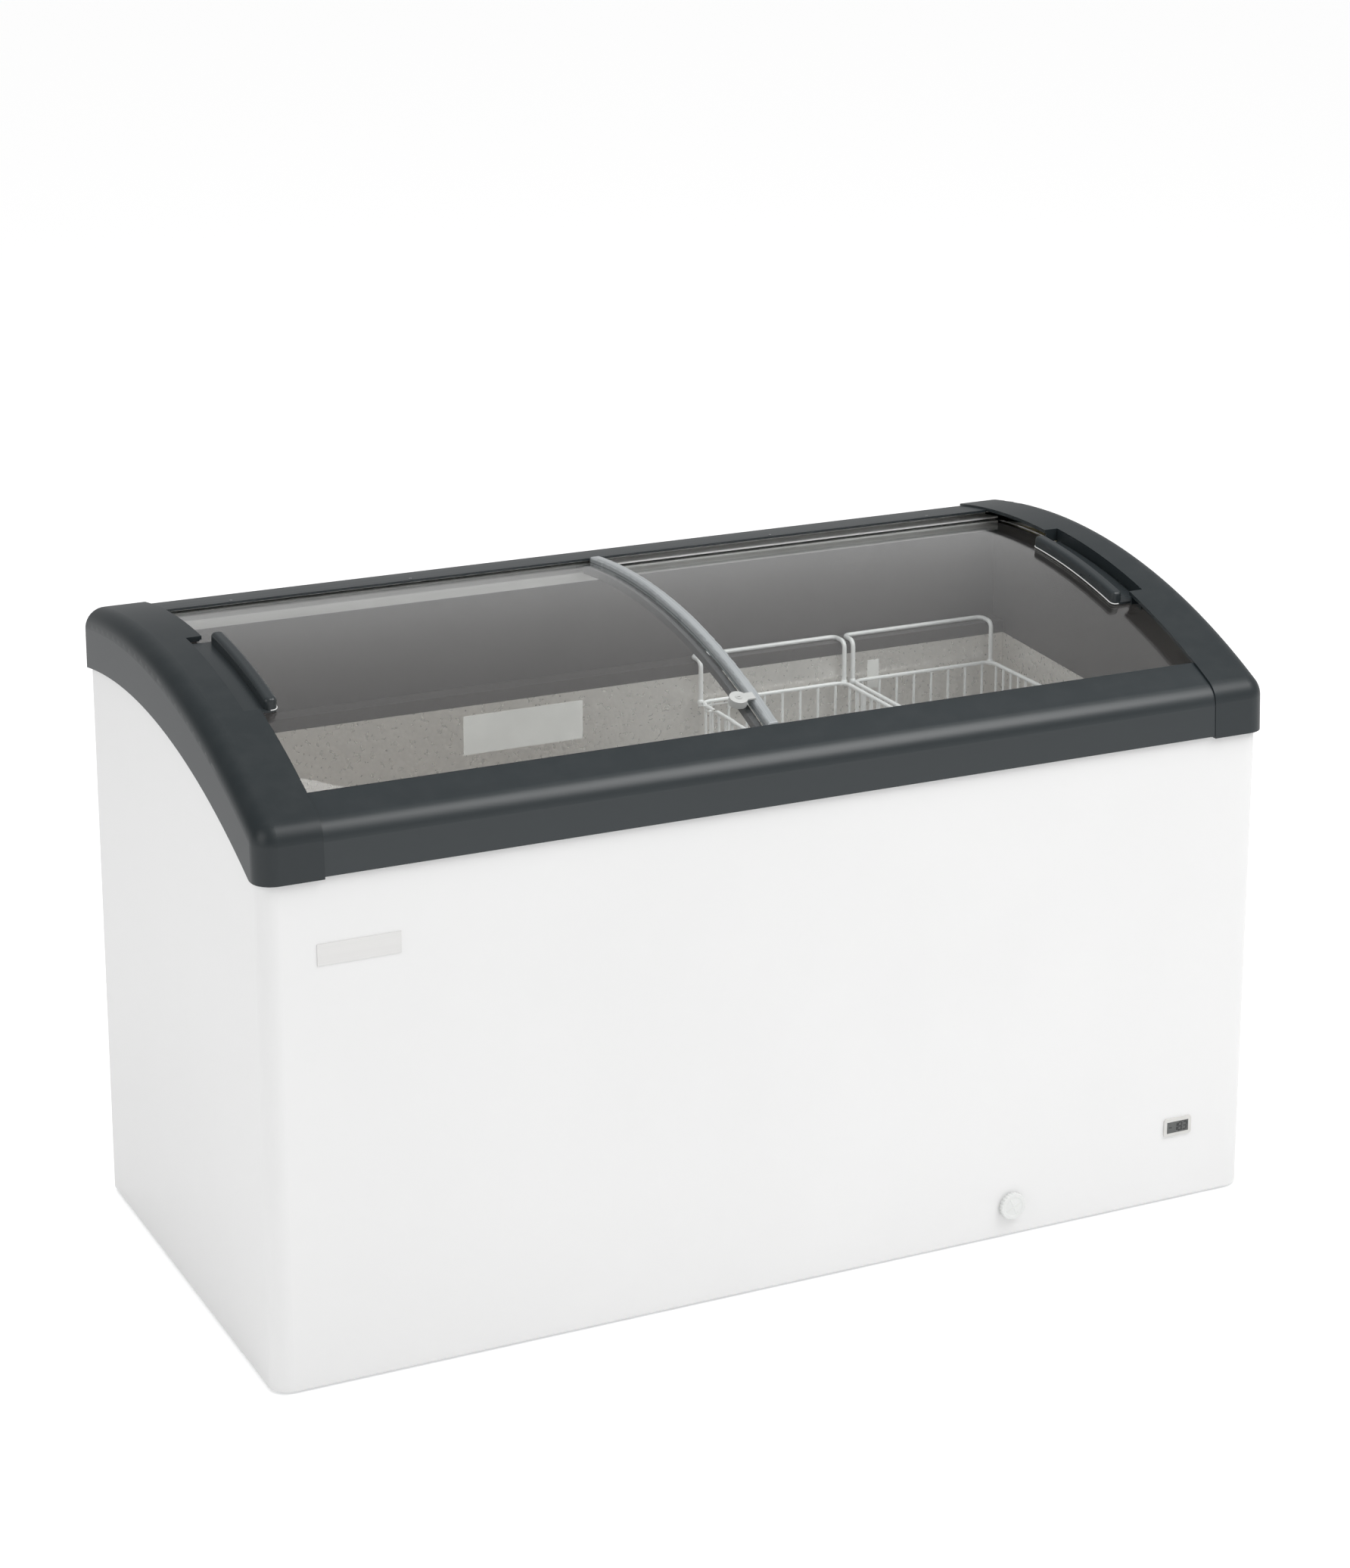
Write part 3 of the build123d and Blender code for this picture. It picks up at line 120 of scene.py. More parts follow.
# Lines drawn by an extrusion or rolling die: Along is the pattern's scale in each direction
dieLines, given, result = startGroup("dieLines", {"Along": (4.0, 500.0, 500.0), "Cloud": 7.0})
drawn = addNode(dieLines, "ShaderNodeMapping",
                [("Vector", given["Vector"]), ("Scale", given["Along"])]).outputs[0]
fineLines = noise(dieLines, drawn, scale=1.0, rough=0.7)
broadLines = noise(dieLines, drawn, scale=0.17, detail=2.0, rough=0.5)
cloud = noise(dieLines, given["Vector"], given["Cloud"], detail=3.0)
lines = weigh(dieLines, fineLines, broadLines, share=0.45)
dieLines.links.new(lines, result["Height"])
shade = weigh(dieLines, lines, cloud, share=0.7)
dieLines.links.new(mapRange(dieLines, shade, low=0.35, high=0.65), result["Shade"])

# Soft orange peel of a sprayed and baked coat, with a slow drift in its tone
orangePeel, given, result = startGroup("orangePeel", {"Peel": 260.0, "Drift": 2.5})
peel = noise(orangePeel, given["Vector"], given["Peel"], detail=1.5, rough=0.4)
drift = noise(orangePeel, given["Vector"], given["Drift"], detail=3.0)
orangePeel.links.new(peel, result["Height"])
orangePeel.links.new(mapRange(orangePeel, drift, low=0.35, high=0.65), result["Shade"])

# Stucco embossing of sheet aluminium: rounded pebbles of uneven size with creases between them.
# Wander is how far, in metres, the pebbles stray from even cells.
stuccoEmboss, given, result = startGroup("stuccoEmboss", {"Pebble": 150.0, "Wander": 0.006})
stray = noise(stuccoEmboss, given["Vector"], scale=60.0, detail=2.0).node.outputs["Color"]
stray = vectorMath(stuccoEmboss, "SUBTRACT", (0, stray), (1, (0.5, 0.5, 0.5)))
stray = vectorMath(stuccoEmboss, "SCALE", (0, stray), ("Scale", given["Wander"]))
pebble = addNode(stuccoEmboss, "ShaderNodeTexVoronoi",
                 [("Vector", vectorMath(stuccoEmboss, "ADD", (0, given["Vector"]), (1, stray))),
                  ("Scale", given["Pebble"]), ("Smoothness", 0.35)], feature="SMOOTH_F1")
pebbleDomeAndShade = mapRange(stuccoEmboss, pebble.outputs["Distance"], low=0.05, high=0.75, toLow=1.0, toHigh=0.0)
fine = noise(stuccoEmboss, given["Vector"], scale=320.0, detail=3.0)
stuccoEmboss.links.new(weigh(stuccoEmboss, pebbleDomeAndShade, fine, share=0.85), result["Height"])
# The same dome sets the colour's tone: painted shade darkens the creases and a painted highlight
# lightens the pebble tops.
stuccoEmboss.links.new(pebbleDomeAndShade, result["Shade"])

# Crystals of hot dip zinc, each of its own tone
zincSpangle, given, result = startGroup("zincSpangle", {"Crystal": 70.0})
crystal = addNode(zincSpangle, "ShaderNodeTexVoronoi",
                  [("Vector", given["Vector"]), ("Scale", given["Crystal"])]).outputs
tone = addNode(zincSpangle, "ShaderNodeSeparateColor", [("Color", crystal["Color"])]).outputs[0]
zincSpangle.links.new(tone, result["Shade"])
zincSpangle.links.new(crystal["Distance"], result["Height"])

# Open pores of cut foam, with slow stains
foamPores, given, result = startGroup("foamPores", {"Pore": 500.0})
pore = addNode(foamPores, "ShaderNodeTexVoronoi",
               [("Vector", given["Vector"]), ("Scale", given["Pore"])]).outputs
stain = noise(foamPores, given["Vector"], scale=14.0, detail=5.0)
foamPores.links.new(pore["Distance"], result["Height"])
foamPores.links.new(mapRange(foamPores, stain, low=0.3, high=0.7), result["Shade"])

# Dust that settles where a surface looks up, in uneven patches
settledDust, given, result = startGroup("settledDust", {"Patch": 30.0, "Amount": 0.1}, ["Mask"])
normal = addNode(settledDust, "ShaderNodeNewGeometry").outputs["Normal"]
upward = addNode(settledDust, "ShaderNodeSeparateXYZ", [(0, normal)]).outputs["Z"]
patch = noise(settledDust, given["Vector"], given["Patch"], detail=6.0, rough=0.65)
cover = mathNode(settledDust, "MULTIPLY", mapRange(settledDust, upward, low=0.2, high=1.0),
                 mapRange(settledDust, patch, low=0.42, high=0.68))
settledDust.links.new(mathNode(settledDust, "MULTIPLY", cover, given["Amount"]), result["Mask"])
print("node groups made")


# Materials: one dictionary for each finish. tint is how far the colour runs to either side of its
# tone, swing the whole range of the roughness, gloss the specular level, dust the most that lies
# on top, and bump and reach the strength and the height in mm of the relief.
plainFinish = {"metal": 0.0, "coat": 0.0, "coatRough": 0.2, "gloss": 0.5, "swing": 0.05, "reach": 0.15}

finishes = {
    "white_paint": {"colour": (0.85, 0.85, 0.848), "rough": 0.32, "coat": 0.25, "effect": orangePeel,
                    "values": {"Peel": 300.0, "Drift": 2.0}, "tint": 0.012, "bump": 0.035},
    "zinc_steel": {"colour": (0.50, 0.52, 0.53), "rough": 0.42, "metal": 1.0, "effect": zincSpangle,
                   "values": {"Crystal": 60.0}, "tint": 0.14, "swing": 0.2, "bump": 0.02},
    "foam": {"colour": (0.78, 0.68, 0.40), "rough": 0.95, "effect": foamPores,
             "values": {"Pore": 450.0}, "tint": 0.1, "bump": 0.6, "reach": 0.6},
    # its tint paints shade into the stucco's creases and a highlight onto its pebble tops
    "liner_aluminium": {"colour": (0.80, 0.775, 0.745), "rough": 0.32, "metal": 0.72,
                        "effect": stuccoEmboss, "values": {"Pebble": 140.0, "Wander": 0.008},
                        "tint": 0.03, "swing": 0.10, "bump": 0.4, "reach": 0.8},
    "collar_plastic": {"colour": (0.058, 0.053, 0.052), "rough": 0.42, "effect": mouldGrain,
                       "values": {"Grain": 700.0, "Cloud": 5.0}, "tint": 0.05, "bump": 0.06},
    "track_aluminium": {"colour": (0.78, 0.78, 0.77), "rough": 0.34, "metal": 0.55,
                        "effect": dieLines, "values": {"Along": (3.0, 900.0, 900.0), "Cloud": 6.0},
                        "tint": 0.08, "swing": 0.14, "bump": 0.12},
    "rim_plastic": {"colour": (0.018, 0.024, 0.027), "rough": 0.38, "effect": mouldGrain,
                    "values": {"Grain": 1100.0, "Cloud": 2.5}, "tint": 0.03, "swing": 0.015,
                    "bump": 0.08, "dust": 0.015},
    "rail_plastic": {"colour": (0.012, 0.0185, 0.022), "rough": 0.39, "gloss": 0.74,
                     "effect": dieLines, "values": {"Along": (1.5, 230.0, 230.0), "Cloud": 5.0},
                     "tint": 0.08, "swing": 0.06, "bump": 0.05, "dust": 0.012},
    "runner_plastic": {"colour": (0.028, 0.031, 0.034), "rough": 0.4, "effect": dieLines,
                       "values": {"Along": (3.0, 600.0, 600.0), "Cloud": 8.0}, "tint": 0.12,
                       "bump": 0.08},
    "bar_plastic": {"colour": (0.34, 0.36, 0.37), "rough": 0.28, "coat": 0.2, "effect": dieLines,
                    "values": {"Along": (700.0, 5.0, 5.0), "Cloud": 8.0}, "tint": 0.12,
                    "swing": 0.1, "bump": 0.06},
    "seal_rubber": {"colour": (0.03, 0.03, 0.033), "rough": 0.75, "effect": mouldGrain,
                    "values": {"Grain": 1500.0, "Cloud": 20.0}, "tint": 0.1, "bump": 0.15},
    "handle_plastic": {"colour": (0.028, 0.034, 0.037), "rough": 0.28, "effect": mouldGrain,
                       "values": {"Grain": 1300.0, "Cloud": 6.0}, "tint": 0.03, "swing": 0.02,
                       "bump": 0.04},
    "lock_plastic": {"colour": (0.50, 0.51, 0.50), "rough": 0.5, "effect": mouldGrain,
                     "values": {"Grain": 1800.0, "Cloud": 40.0}, "tint": 0.06, "bump": 0.08},
    "lock_steel": {"colour": (0.58, 0.59, 0.58), "rough": 0.42, "metal": 0.35, "effect": dieLines,
                   "values": {"Along": (900.0, 900.0, 40.0), "Cloud": 60.0}, "tint": 0.1,
                   "bump": 0.08},
    "basket_wire": {"colour": (0.82, 0.83, 0.83), "rough": 0.3, "coat": 0.3, "effect": orangePeel,
                    "values": {"Peel": 420.0, "Drift": 12.0}, "tint": 0.03, "bump": 0.12,
                    "reach": 0.3},
    "drain_plastic": {"colour": (0.80, 0.81, 0.80), "rough": 0.38, "effect": mouldGrain,
                      "values": {"Grain": 1600.0, "Cloud": 30.0}, "tint": 0.03, "bump": 0.06},
    "plug_rubber": {"colour": (0.16, 0.165, 0.17), "rough": 0.7, "effect": mouldGrain,
                    "values": {"Grain": 1200.0, "Cloud": 40.0}, "tint": 0.1, "bump": 0.15},
    "display_plastic": {"colour": (0.69, 0.68, 0.66), "rough": 0.35, "effect": mouldGrain,
                        "values": {"Grain": 2000.0, "Cloud": 40.0}, "tint": 0.05, "bump": 0.06},
    "lead_rubber": {"colour": (0.06, 0.06, 0.06), "rough": 0.6, "effect": mouldGrain,
                    "values": {"Grain": 1400.0, "Cloud": 30.0}, "tint": 0.1, "bump": 0.1},
    "probe_steel": {"colour": (0.56, 0.56, 0.56), "rough": 0.3, "metal": 1.0, "effect": dieLines,
                    "values": {"Along": (60.0, 60.0, 900.0), "Cloud": 30.0}, "tint": 0.1,
                    "bump": 0.08},
    "cover_paint": {"colour": (0.62, 0.63, 0.63), "rough": 0.45, "effect": orangePeel,
                    "values": {"Peel": 500.0, "Drift": 5.0}, "tint": 0.03, "bump": 0.1},
    "screw_steel": {"colour": (0.52, 0.53, 0.54), "rough": 0.28, "metal": 1.0, "effect": dieLines,
                    "values": {"Along": (800.0, 800.0, 800.0), "Cloud": 90.0}, "tint": 0.12,
                    "bump": 0.1},
    "black_plastic": {"colour": (0.035, 0.035, 0.038), "rough": 0.5, "effect": mouldGrain,
                      "values": {"Grain": 1200.0, "Cloud": 25.0}, "tint": 0.12, "bump": 0.15},
    "compressor_paint": {"colour": (0.022, 0.022, 0.024), "rough": 0.35, "effect": orangePeel,
                         "values": {"Peel": 350.0, "Drift": 9.0}, "tint": 0.1, "bump": 0.2,
                         "dust": 0.25},
    "grommet_rubber": {"colour": (0.045, 0.045, 0.047), "rough": 0.8, "effect": mouldGrain,
                       "values": {"Grain": 1100.0, "Cloud": 35.0}, "tint": 0.12, "bump": 0.2},
    "copper": {"colour": (0.72, 0.36, 0.22), "rough": 0.32, "metal": 1.0, "effect": dieLines,
               "values": {"Along": (300.0, 300.0, 300.0), "Cloud": 18.0}, "tint": 0.16,
               "swing": 0.15, "bump": 0.06},
    "coil_steel": {"colour": (0.42, 0.43, 0.44), "rough": 0.4, "metal": 1.0, "effect": dieLines,
                   "values": {"Along": (200.0, 200.0, 900.0), "Cloud": 14.0}, "tint": 0.12,
                   "bump": 0.08},
    "foot_plastic": {"colour": (0.05, 0.05, 0.052), "rough": 0.55, "effect": mouldGrain,
                     "values": {"Grain": 900.0, "Cloud": 25.0}, "tint": 0.1, "bump": 0.15},
    "badge_metal": {"colour": (0.74, 0.735, 0.725), "rough": 0.34, "metal": 0.25, "coat": 0.3,
                    "effect": dieLines, "values": {"Along": (6.0, 1500.0, 1500.0), "Cloud": 14.0},
                    "tint": 0.025, "swing": 0.04, "bump": 0.03},
    "label_film": {"colour": (0.82, 0.82, 0.80), "rough": 0.38, "effect": orangePeel,
                   "values": {"Peel": 120.0, "Drift": 25.0}, "tint": 0.03, "bump": 0.1},
}

dustSet = {"colour": (0.42, 0.41, 0.39, 1.0), "rough": 0.6}


def startMaterial(name):
    material = bpy.data.materials.new(name)
    material.use_nodes = True
    tree = material.node_tree
    tree.nodes.clear()
    out = tree.nodes.new("ShaderNodeOutputMaterial")
    shader = tree.nodes.new("ShaderNodeBsdfPrincipled")
    place = tree.nodes.new("ShaderNodeTexCoord").outputs["Object"]
    tree.links.new(shader.outputs[0], out.inputs["Surface"])
    return material, tree, shader, place


def placeGroup(tree, group, place, values):
    return addNode(tree, "ShaderNodeGroup", [("Vector", place), *values.items()],
                   node_tree=group).outputs


# Colour runs between a darker and a lighter tone with Shade, roughness swings with it, and
# Height goes through one bump.
def makeFinish(name, own):
    s = {**plainFinish, **own}
    material, tree, shader, place = startMaterial(name)
    shader.inputs["Metallic"].default_value = s["metal"]
    shader.inputs["Coat Weight"].default_value = s["coat"]
    shader.inputs["Coat Roughness"].default_value = s["coatRough"]
    shader.inputs["Specular IOR Level"].default_value = s["gloss"]
    effect = placeGroup(tree, s["effect"], place, s["values"])
    dark, light = ([min(1.0, c * k) for c in s["colour"]] + [1.0]
                   for k in (1.0 - s["tint"], 1.0 + s["tint"]))
    colour = mixColour(tree, effect["Shade"], dark, light)
    rough = mapRange(tree, effect["Shade"], 0.0, 1.0, s["rough"] - s["swing"] / 2,
                     s["rough"] + s["swing"] / 2)
    if "dust" in s:
        dust = placeGroup(tree, settledDust, place, {"Amount": s["dust"]})["Mask"]
        colour = mixColour(tree, dust, colour, dustSet["colour"])
        rough = mathNode(tree, "ADD", rough, mathNode(tree, "MULTIPLY", dust, dustSet["rough"]))
    tree.links.new(colour, shader.inputs["Base Color"])
    tree.links.new(rough, shader.inputs["Roughness"])
    bump = addNode(tree, "ShaderNodeBump", [("Strength", s["bump"]), ("Distance", s["reach"] * mm),
                                            ("Height", effect["Height"])])
    tree.links.new(bump.outputs[0], shader.inputs["Normal"])
    return material


materials = {name: makeFinish(name, s) for name, s in finishes.items()}

# Float glass, clear but for faint smears. Shadow and diffuse rays pass straight through it, so
# that the tub is lit.
glassSet = {"colour": (0.985, 0.99, 0.985, 1.0), "ior": 1.5, "through": (0.95, 0.96, 0.955, 1.0),
            "pattern": {"Grain": 40.0, "Cloud": 6.0}, "smearFrom": 0.2, "smear": 0.02}


def makeGlass(s):
    material, tree, shader, place = startMaterial("lid_glass")
    shader.inputs["Base Color"].default_value = s["colour"]
    shader.inputs["Transmission Weight"].default_value = 1.0
    shader.inputs["IOR"].default_value = s["ior"]
    smears = placeGroup(tree, mouldGrain, place, s["pattern"])["Shade"]
    tree.links.new(mapRange(tree, smears, s["smearFrom"], 1.0, 0.0, s["smear"]),
                   shader.inputs["Roughness"])
    path = tree.nodes.new("ShaderNodeLightPath").outputs
    clear = addNode(tree, "ShaderNodeBsdfTransparent", [("Color", s["through"])])
    soft = mathNode(tree, "MAXIMUM", path["Is Shadow Ray"], path["Is Diffuse Ray"])
    mix = addNode(tree, "ShaderNodeMixShader", [(0, soft), (1, shader.outputs[0]),
                                                (2, clear.outputs[0])])
    tree.links.new(mix.outputs[0], tree.nodes["Material Output"].inputs["Surface"])
    return material


materials["lid_glass"] = makeGlass(glassSet)

# Liquid crystal screen: dark grey green behind a clear window
screenSet = {"colour": (0.088, 0.092, 0.090, 1.0), "rough": 0.24, "coat": 0.2,
             "pattern": {"Grain": 900.0, "Cloud": 60.0}, "lighter": 1.12, "rougher": 1.5}


def makeScreen(s):
    material, tree, shader, place = startMaterial("display_glass")
    shader.inputs["Coat Weight"].default_value = s["coat"]
    film = placeGroup(tree, mouldGrain, place, s["pattern"])
    tone = mixColour(tree, film["Shade"], s["colour"], [c * s["lighter"] for c in s["colour"]])
    tree.links.new(tone, shader.inputs["Base Color"])
    tree.links.new(mapRange(tree, film["Height"], 0.0, 1.0, s["rough"], s["rough"] * s["rougher"]),
                   shader.inputs["Roughness"])
    return material


materials["display_glass"] = makeScreen(screenSet)

railNodes = ("front_rail", "back_rail")
for sub in frame["record"]["subparts"]:
    finish = "rail_plastic" if sub["node"] in railNodes else sub["material_slot"]
    slots = nodes[sub["node"]].data.materials
    slots.clear()
    slots.append(materials[finish])
print("materials made:", len(materials))


# Shapes: every new piece is worked out as whole arrays of points and faces

def boxOf(node):
    low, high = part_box(node)
    return np.array(low), np.array(high)


def nodePoints(node):
    mesh = nodes[node].data
    points = np.empty(len(mesh.vertices) * 3)
    mesh.vertices.foreach_get("co", points)
    return points.reshape(-1, 3)


# Straight runs between the corners, each corner rounded by an arc of radius bend that touches
# both runs: start + bend * (sin(a) * in + (1 - cos(a)) * towards the bend).
def bentPath(corners, bend, steps, closed=False):
    corners = np.array(corners, float)
    count = len(corners)
    stretches = [] if closed else [corners[:1]]
    for i in range(0 if closed else 1, count if closed else count - 1):
        here = corners[i]
        comes = here - corners[i - 1]
        leaves = corners[(i + 1) % count] - here
        comes /= np.linalg.norm(comes)
        leaves /= np.linalg.norm(leaves)
        turn = math.acos(np.clip(comes @ leaves, -1.0, 1.0))
        towards = leaves - comes * (comes @ leaves)
        towards /= np.linalg.norm(towards)
        start = here - comes * bend * math.tan(turn / 2)
        angle = np.linspace(0.0, turn, steps)[:, None]
        stretches.append(start + bend * (np.sin(angle) * comes + (1 - np.cos(angle)) * towards))
    if not closed:
        stretches.append(corners[-1:])
    return np.concatenate(stretches)


# Quads between neighbouring rows and columns of a grid of points, wrapped round where asked
def gridFaces(rows, columns, wrapRows=False, wrapColumns=True):
    i = np.arange(rows if wrapRows else rows - 1)[:, None]
    j = np.arange(columns if wrapColumns else columns - 1)[None, :]
    nextRow, nextColumn = (i + 1) % rows, (j + 1) % columns
    quads = np.stack([i * columns + j, i * columns + nextColumn, nextRow * columns + nextColumn,
                      nextRow * columns + j], -1)
    return quads.reshape(-1, 4)


# A grid whose columns wrap round, closed by one face over the first row and one over the last
def cappedFaces(rows, columns):
    ring = list(range(columns))
    return gridFaces(rows, columns).tolist() + [ring[::-1], [i + (rows - 1) * columns for i in ring]]


# Circle of the given radius carried along a path. The circle's axes are the tangent crossed with
# a slanted line that no run follows, and that cross product crossed with the tangent again.
def tube(path, radius, sides, closed=False, slant=(0.48, 0.36, 0.8)):
    if closed:
        tangent = np.roll(path, -1, 0) - np.roll(path, 1, 0)
    else:
        tangent = np.gradient(path, axis=0)
    tangent /= np.linalg.norm(tangent, axis=1, keepdims=True)
    across = np.cross(tangent, slant)
    across /= np.linalg.norm(across, axis=1, keepdims=True)
    upward = np.cross(across, tangent)
    angle = np.linspace(0.0, 2 * np.pi, sides, endpoint=False)[None, :, None]
    points = path[:, None, :] + radius * (np.cos(angle) * across[:, None, :]
                                          + np.sin(angle) * upward[:, None, :])
    rows = len(path)
    faces = gridFaces(rows, sides, wrapRows=True).tolist() if closed else cappedFaces(rows, sides)
    return points.reshape(-1, 3), faces


# Surface of revolution: the profile gives radius and place along the axis row by row, and columns
# run round the axis. reach takes the radius and angle of every point and gives a new radius;
# relief takes them and gives how far the point moves along the axis.
def turned(centre, axis, profile, sides, reach=None, relief=None):
    axis = np.array(axis, float)
    slant = (1.0, 0.0, 0.0) if axis[2] else (0.3, 0.5, 0.81)   # any line that isn't the axis
    across = np.cross(axis, slant)
    across /= np.linalg.norm(across)
    upward = np.cross(axis, across)
    profile = np.array(profile, float)
    angle = np.linspace(0.0, 2 * np.pi, sides, endpoint=False)[None, :]
    radius = profile[:, :1] * np.ones_like(angle)
    along = profile[:, 1:2] * np.ones_like(angle)
    if reach is not None:
        radius = reach(radius, angle)
    if relief is not None:
        along = along + relief(radius, angle)
    points = (np.array(centre, float) + along[..., None] * axis
              + radius[..., None] * (np.cos(angle)[..., None] * across
                                     + np.sin(angle)[..., None] * upward))
    return points.reshape(-1, 3), cappedFaces(len(profile), sides)


# Plate whose outline, in X and Z, is carried from one Y to another
def flatPlate(outline, fromY, toY):
    points = np.concatenate([np.insert(outline, 1, y, axis=1) for y in (fromY, toY)])
    return points, cappedFaces(2, len(outline))


# Distance from the nearer of two lines that cross on the axis
def crossDistance(radius, angle):
    return np.minimum(np.abs(radius * np.cos(angle)), np.abs(radius * np.sin(angle)))


# One mesh object from several shells, with normals turned outwards and smooth shading that
# breaks at sharp edges
def putPiece(name, shells, material, body, sharpAngle=40.0):
    points, faces, start = [], [], 0
    for shellPoints, shellFaces in shells:
        points.append(shellPoints)
        faces += [[start + i for i in face] for face in shellFaces]
        start += len(shellPoints)
    mesh = bpy.data.meshes.new(name)
    mesh.from_pydata(np.concatenate(points).tolist(), [], faces)
    work = bmesh.new()
    work.from_mesh(mesh)
    bmesh.ops.recalc_face_normals(work, faces=work.faces)
    for edge in work.edges:
        edge.smooth = len(edge.link_faces) == 2 and edge.calc_face_angle(0.0) < math.radians(sharpAngle)
    work.to_mesh(mesh)
    work.free()
    mesh.polygons.foreach_set("use_smooth", np.ones(len(mesh.polygons), bool))
    mesh.materials.append(materials[material])
    piece = bpy.data.objects.new(name, mesh)
    bpy.context.scene.collection.objects.link(piece)
    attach(piece, body)
    return piece


# Baskets of coated round wire
basketSet = {
    "wire": 2.2 * mm,            # radius of the thin wires
    "ring": 1.9 * mm,            # of the rings round the basket
    "rim": 3.0 * mm,
    "crossWires": 22,            # down one long side, across the floor and up the other
    "longWires": 8,
    "ringDrops": (0.36, 0.7),    # from the rim down, as parts of the basket's height
    "bend": 9.0 * mm,
    "bendSteps": 5,
    "wireSides": 8,
    "corner": 16.0 * mm,
    "cornerSteps": 7,
    "ringSides": 12,
}


# Closed rings, and U wires from rim to rim in both directions: each is a path with rounded corners
# that a circle is carried along.
def wireBasket(name, node, body, s):
    low, high = boxOf(node)
    rimLow, rimHigh = low[:2] + s["rim"], high[:2] - s["rim"]
    top = high[2] - s["rim"]
    shells = []

    def ring(inset, height, radius):
        a, b = rimLow + inset, rimHigh - inset
        corners = [(a[0], a[1], height), (b[0], a[1], height), (b[0], b[1], height),
                   (a[0], b[1], height)]
        path = bentPath(corners, s["corner"] - inset, s["cornerSteps"], closed=True)
        shells.append(tube(path, radius, s["ringSides"], closed=True))

    ring(0.0, top, s["rim"])
    for drop in s["ringDrops"]:
        ring(s["wire"] + s["ring"], top - drop * (top - low[2]), s["ring"])
    crossFloor = low[2] + s["wire"]
    longFloor = crossFloor + 2 * s["wire"]
    first, last = rimLow + s["corner"], rimHigh - s["corner"]
    wires = [[(rimLow[0], y, top), (rimLow[0], y, crossFloor), (rimHigh[0], y, crossFloor),
              (rimHigh[0], y, top)] for y in np.linspace(first[1], last[1], s["crossWires"])]
    wires += [[(x, rimLow[1], top), (x, rimLow[1], longFloor), (x, rimHigh[1], longFloor),
               (x, rimHigh[1], top)] for x in np.linspace(first[0], last[0], s["longWires"])]
    shells += [tube(bentPath(corners, s["bend"], s["bendSteps"]), s["wire"], s["wireSides"])
               for corners in wires]
    piece = putPiece(name, shells, "basket_wire", body)
    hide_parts(node)


for hand in ("left", "right"):
    wireBasket(hand + "BasketWires", hand + "_basket", hand + "_basket_body", basketSet)

# Hangers: thick wire that stands on the basket's rim and hooks over the ledges
hangerSet = {
    "wire": 3.5 * mm,
    "bend": 10.0 * mm,
    "bendSteps": 9,
    "sides": 14,
    "post": 1.5 * mm,            # how far the posts stand inside the basket's edge
    "weld": 5.2 * mm,
    "weldReach": 6.0 * mm,
    "weldDrop": 3.0 * mm,        # below the rim's top
    "weldRows": 9,
    "weldSides": 16,
    "weldPole": 0.02,            # radius left at a weld's ends, as part of its own
}


# On each side a wire goes up, out, along the ledge, back and down. The beads of weld at its feet
# are turned from a radius of weld * sin(t) at a height of -weldReach * cos(t).
def wireHangers(name, node, basketNode, body, s):
    low, high = boxOf(node)
    basketLow, basketHigh = boxOf(basketNode)
    left, right = low[0] + s["wire"], high[0] - s["wire"]
    level = high[2] - s["wire"]
    foot = basketHigh[2] - s["weldReach"] / 2
    t = np.linspace(0.0, np.pi, s["weldRows"])
    bead = np.stack([s["weld"] * np.sin(t).clip(s["weldPole"]), -s["weldReach"] * np.cos(t)], 1)
    shells = []
    for postY, barY in ((basketLow[1] + s["post"], low[1] + s["wire"]),
                        (basketHigh[1] - s["post"], high[1] - s["wire"])):
        corners = [(left, postY, foot), (left, postY, level), (left, barY, level),
                   (right, barY, level), (right, postY, level), (right, postY, foot)]
        shells.append(tube(bentPath(corners, s["bend"], s["bendSteps"]), s["wire"], s["sides"]))
        shells += [turned((x, postY, basketHigh[2] - s["weldDrop"]), (0, 0, 1), bead, s["weldSides"])
                   for x in (left, right)]
    piece = putPiece(name, shells, "basket_wire", body)
    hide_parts(node)


for hand in ("left", "right"):
    wireHangers(hand + "HangerWires", hand + "_basket_hangers", hand + "_basket",
                hand + "_basket_body", hangerSet)
print("baskets made")


# Drain cap: fluted edge, rounded rim and a dished face with a raised cross
capSet = {
    "flutes": 24,
    "fluteDepth": 1.1 * mm,
    "fluteFrom": 0.9,            # part of the radius where the flutes begin
    "footInset": 1.2 * mm,
    "footRise": 0.8 * mm,
    "round": 1.6 * mm,
    "roundSteps": 6,
    "faceFrom": 1.05,            # in rounds from the edge
    "faceRows": 40,
    "pole": 0.2 * mm,
    "dish": 0.7 * mm,
    "dishRadius": 0.72,
    "dishSlope": 1.2 * mm,
    "crossTurn": 45.0,           # degrees
    "crossHalf": 1.3 * mm,
    "crossSlope": 0.5 * mm,
    "crossHeight": 0.55 * mm,
    "crossReach": 0.62,
    "sides": 288,
    "sharp": 55.0,               # degrees
}


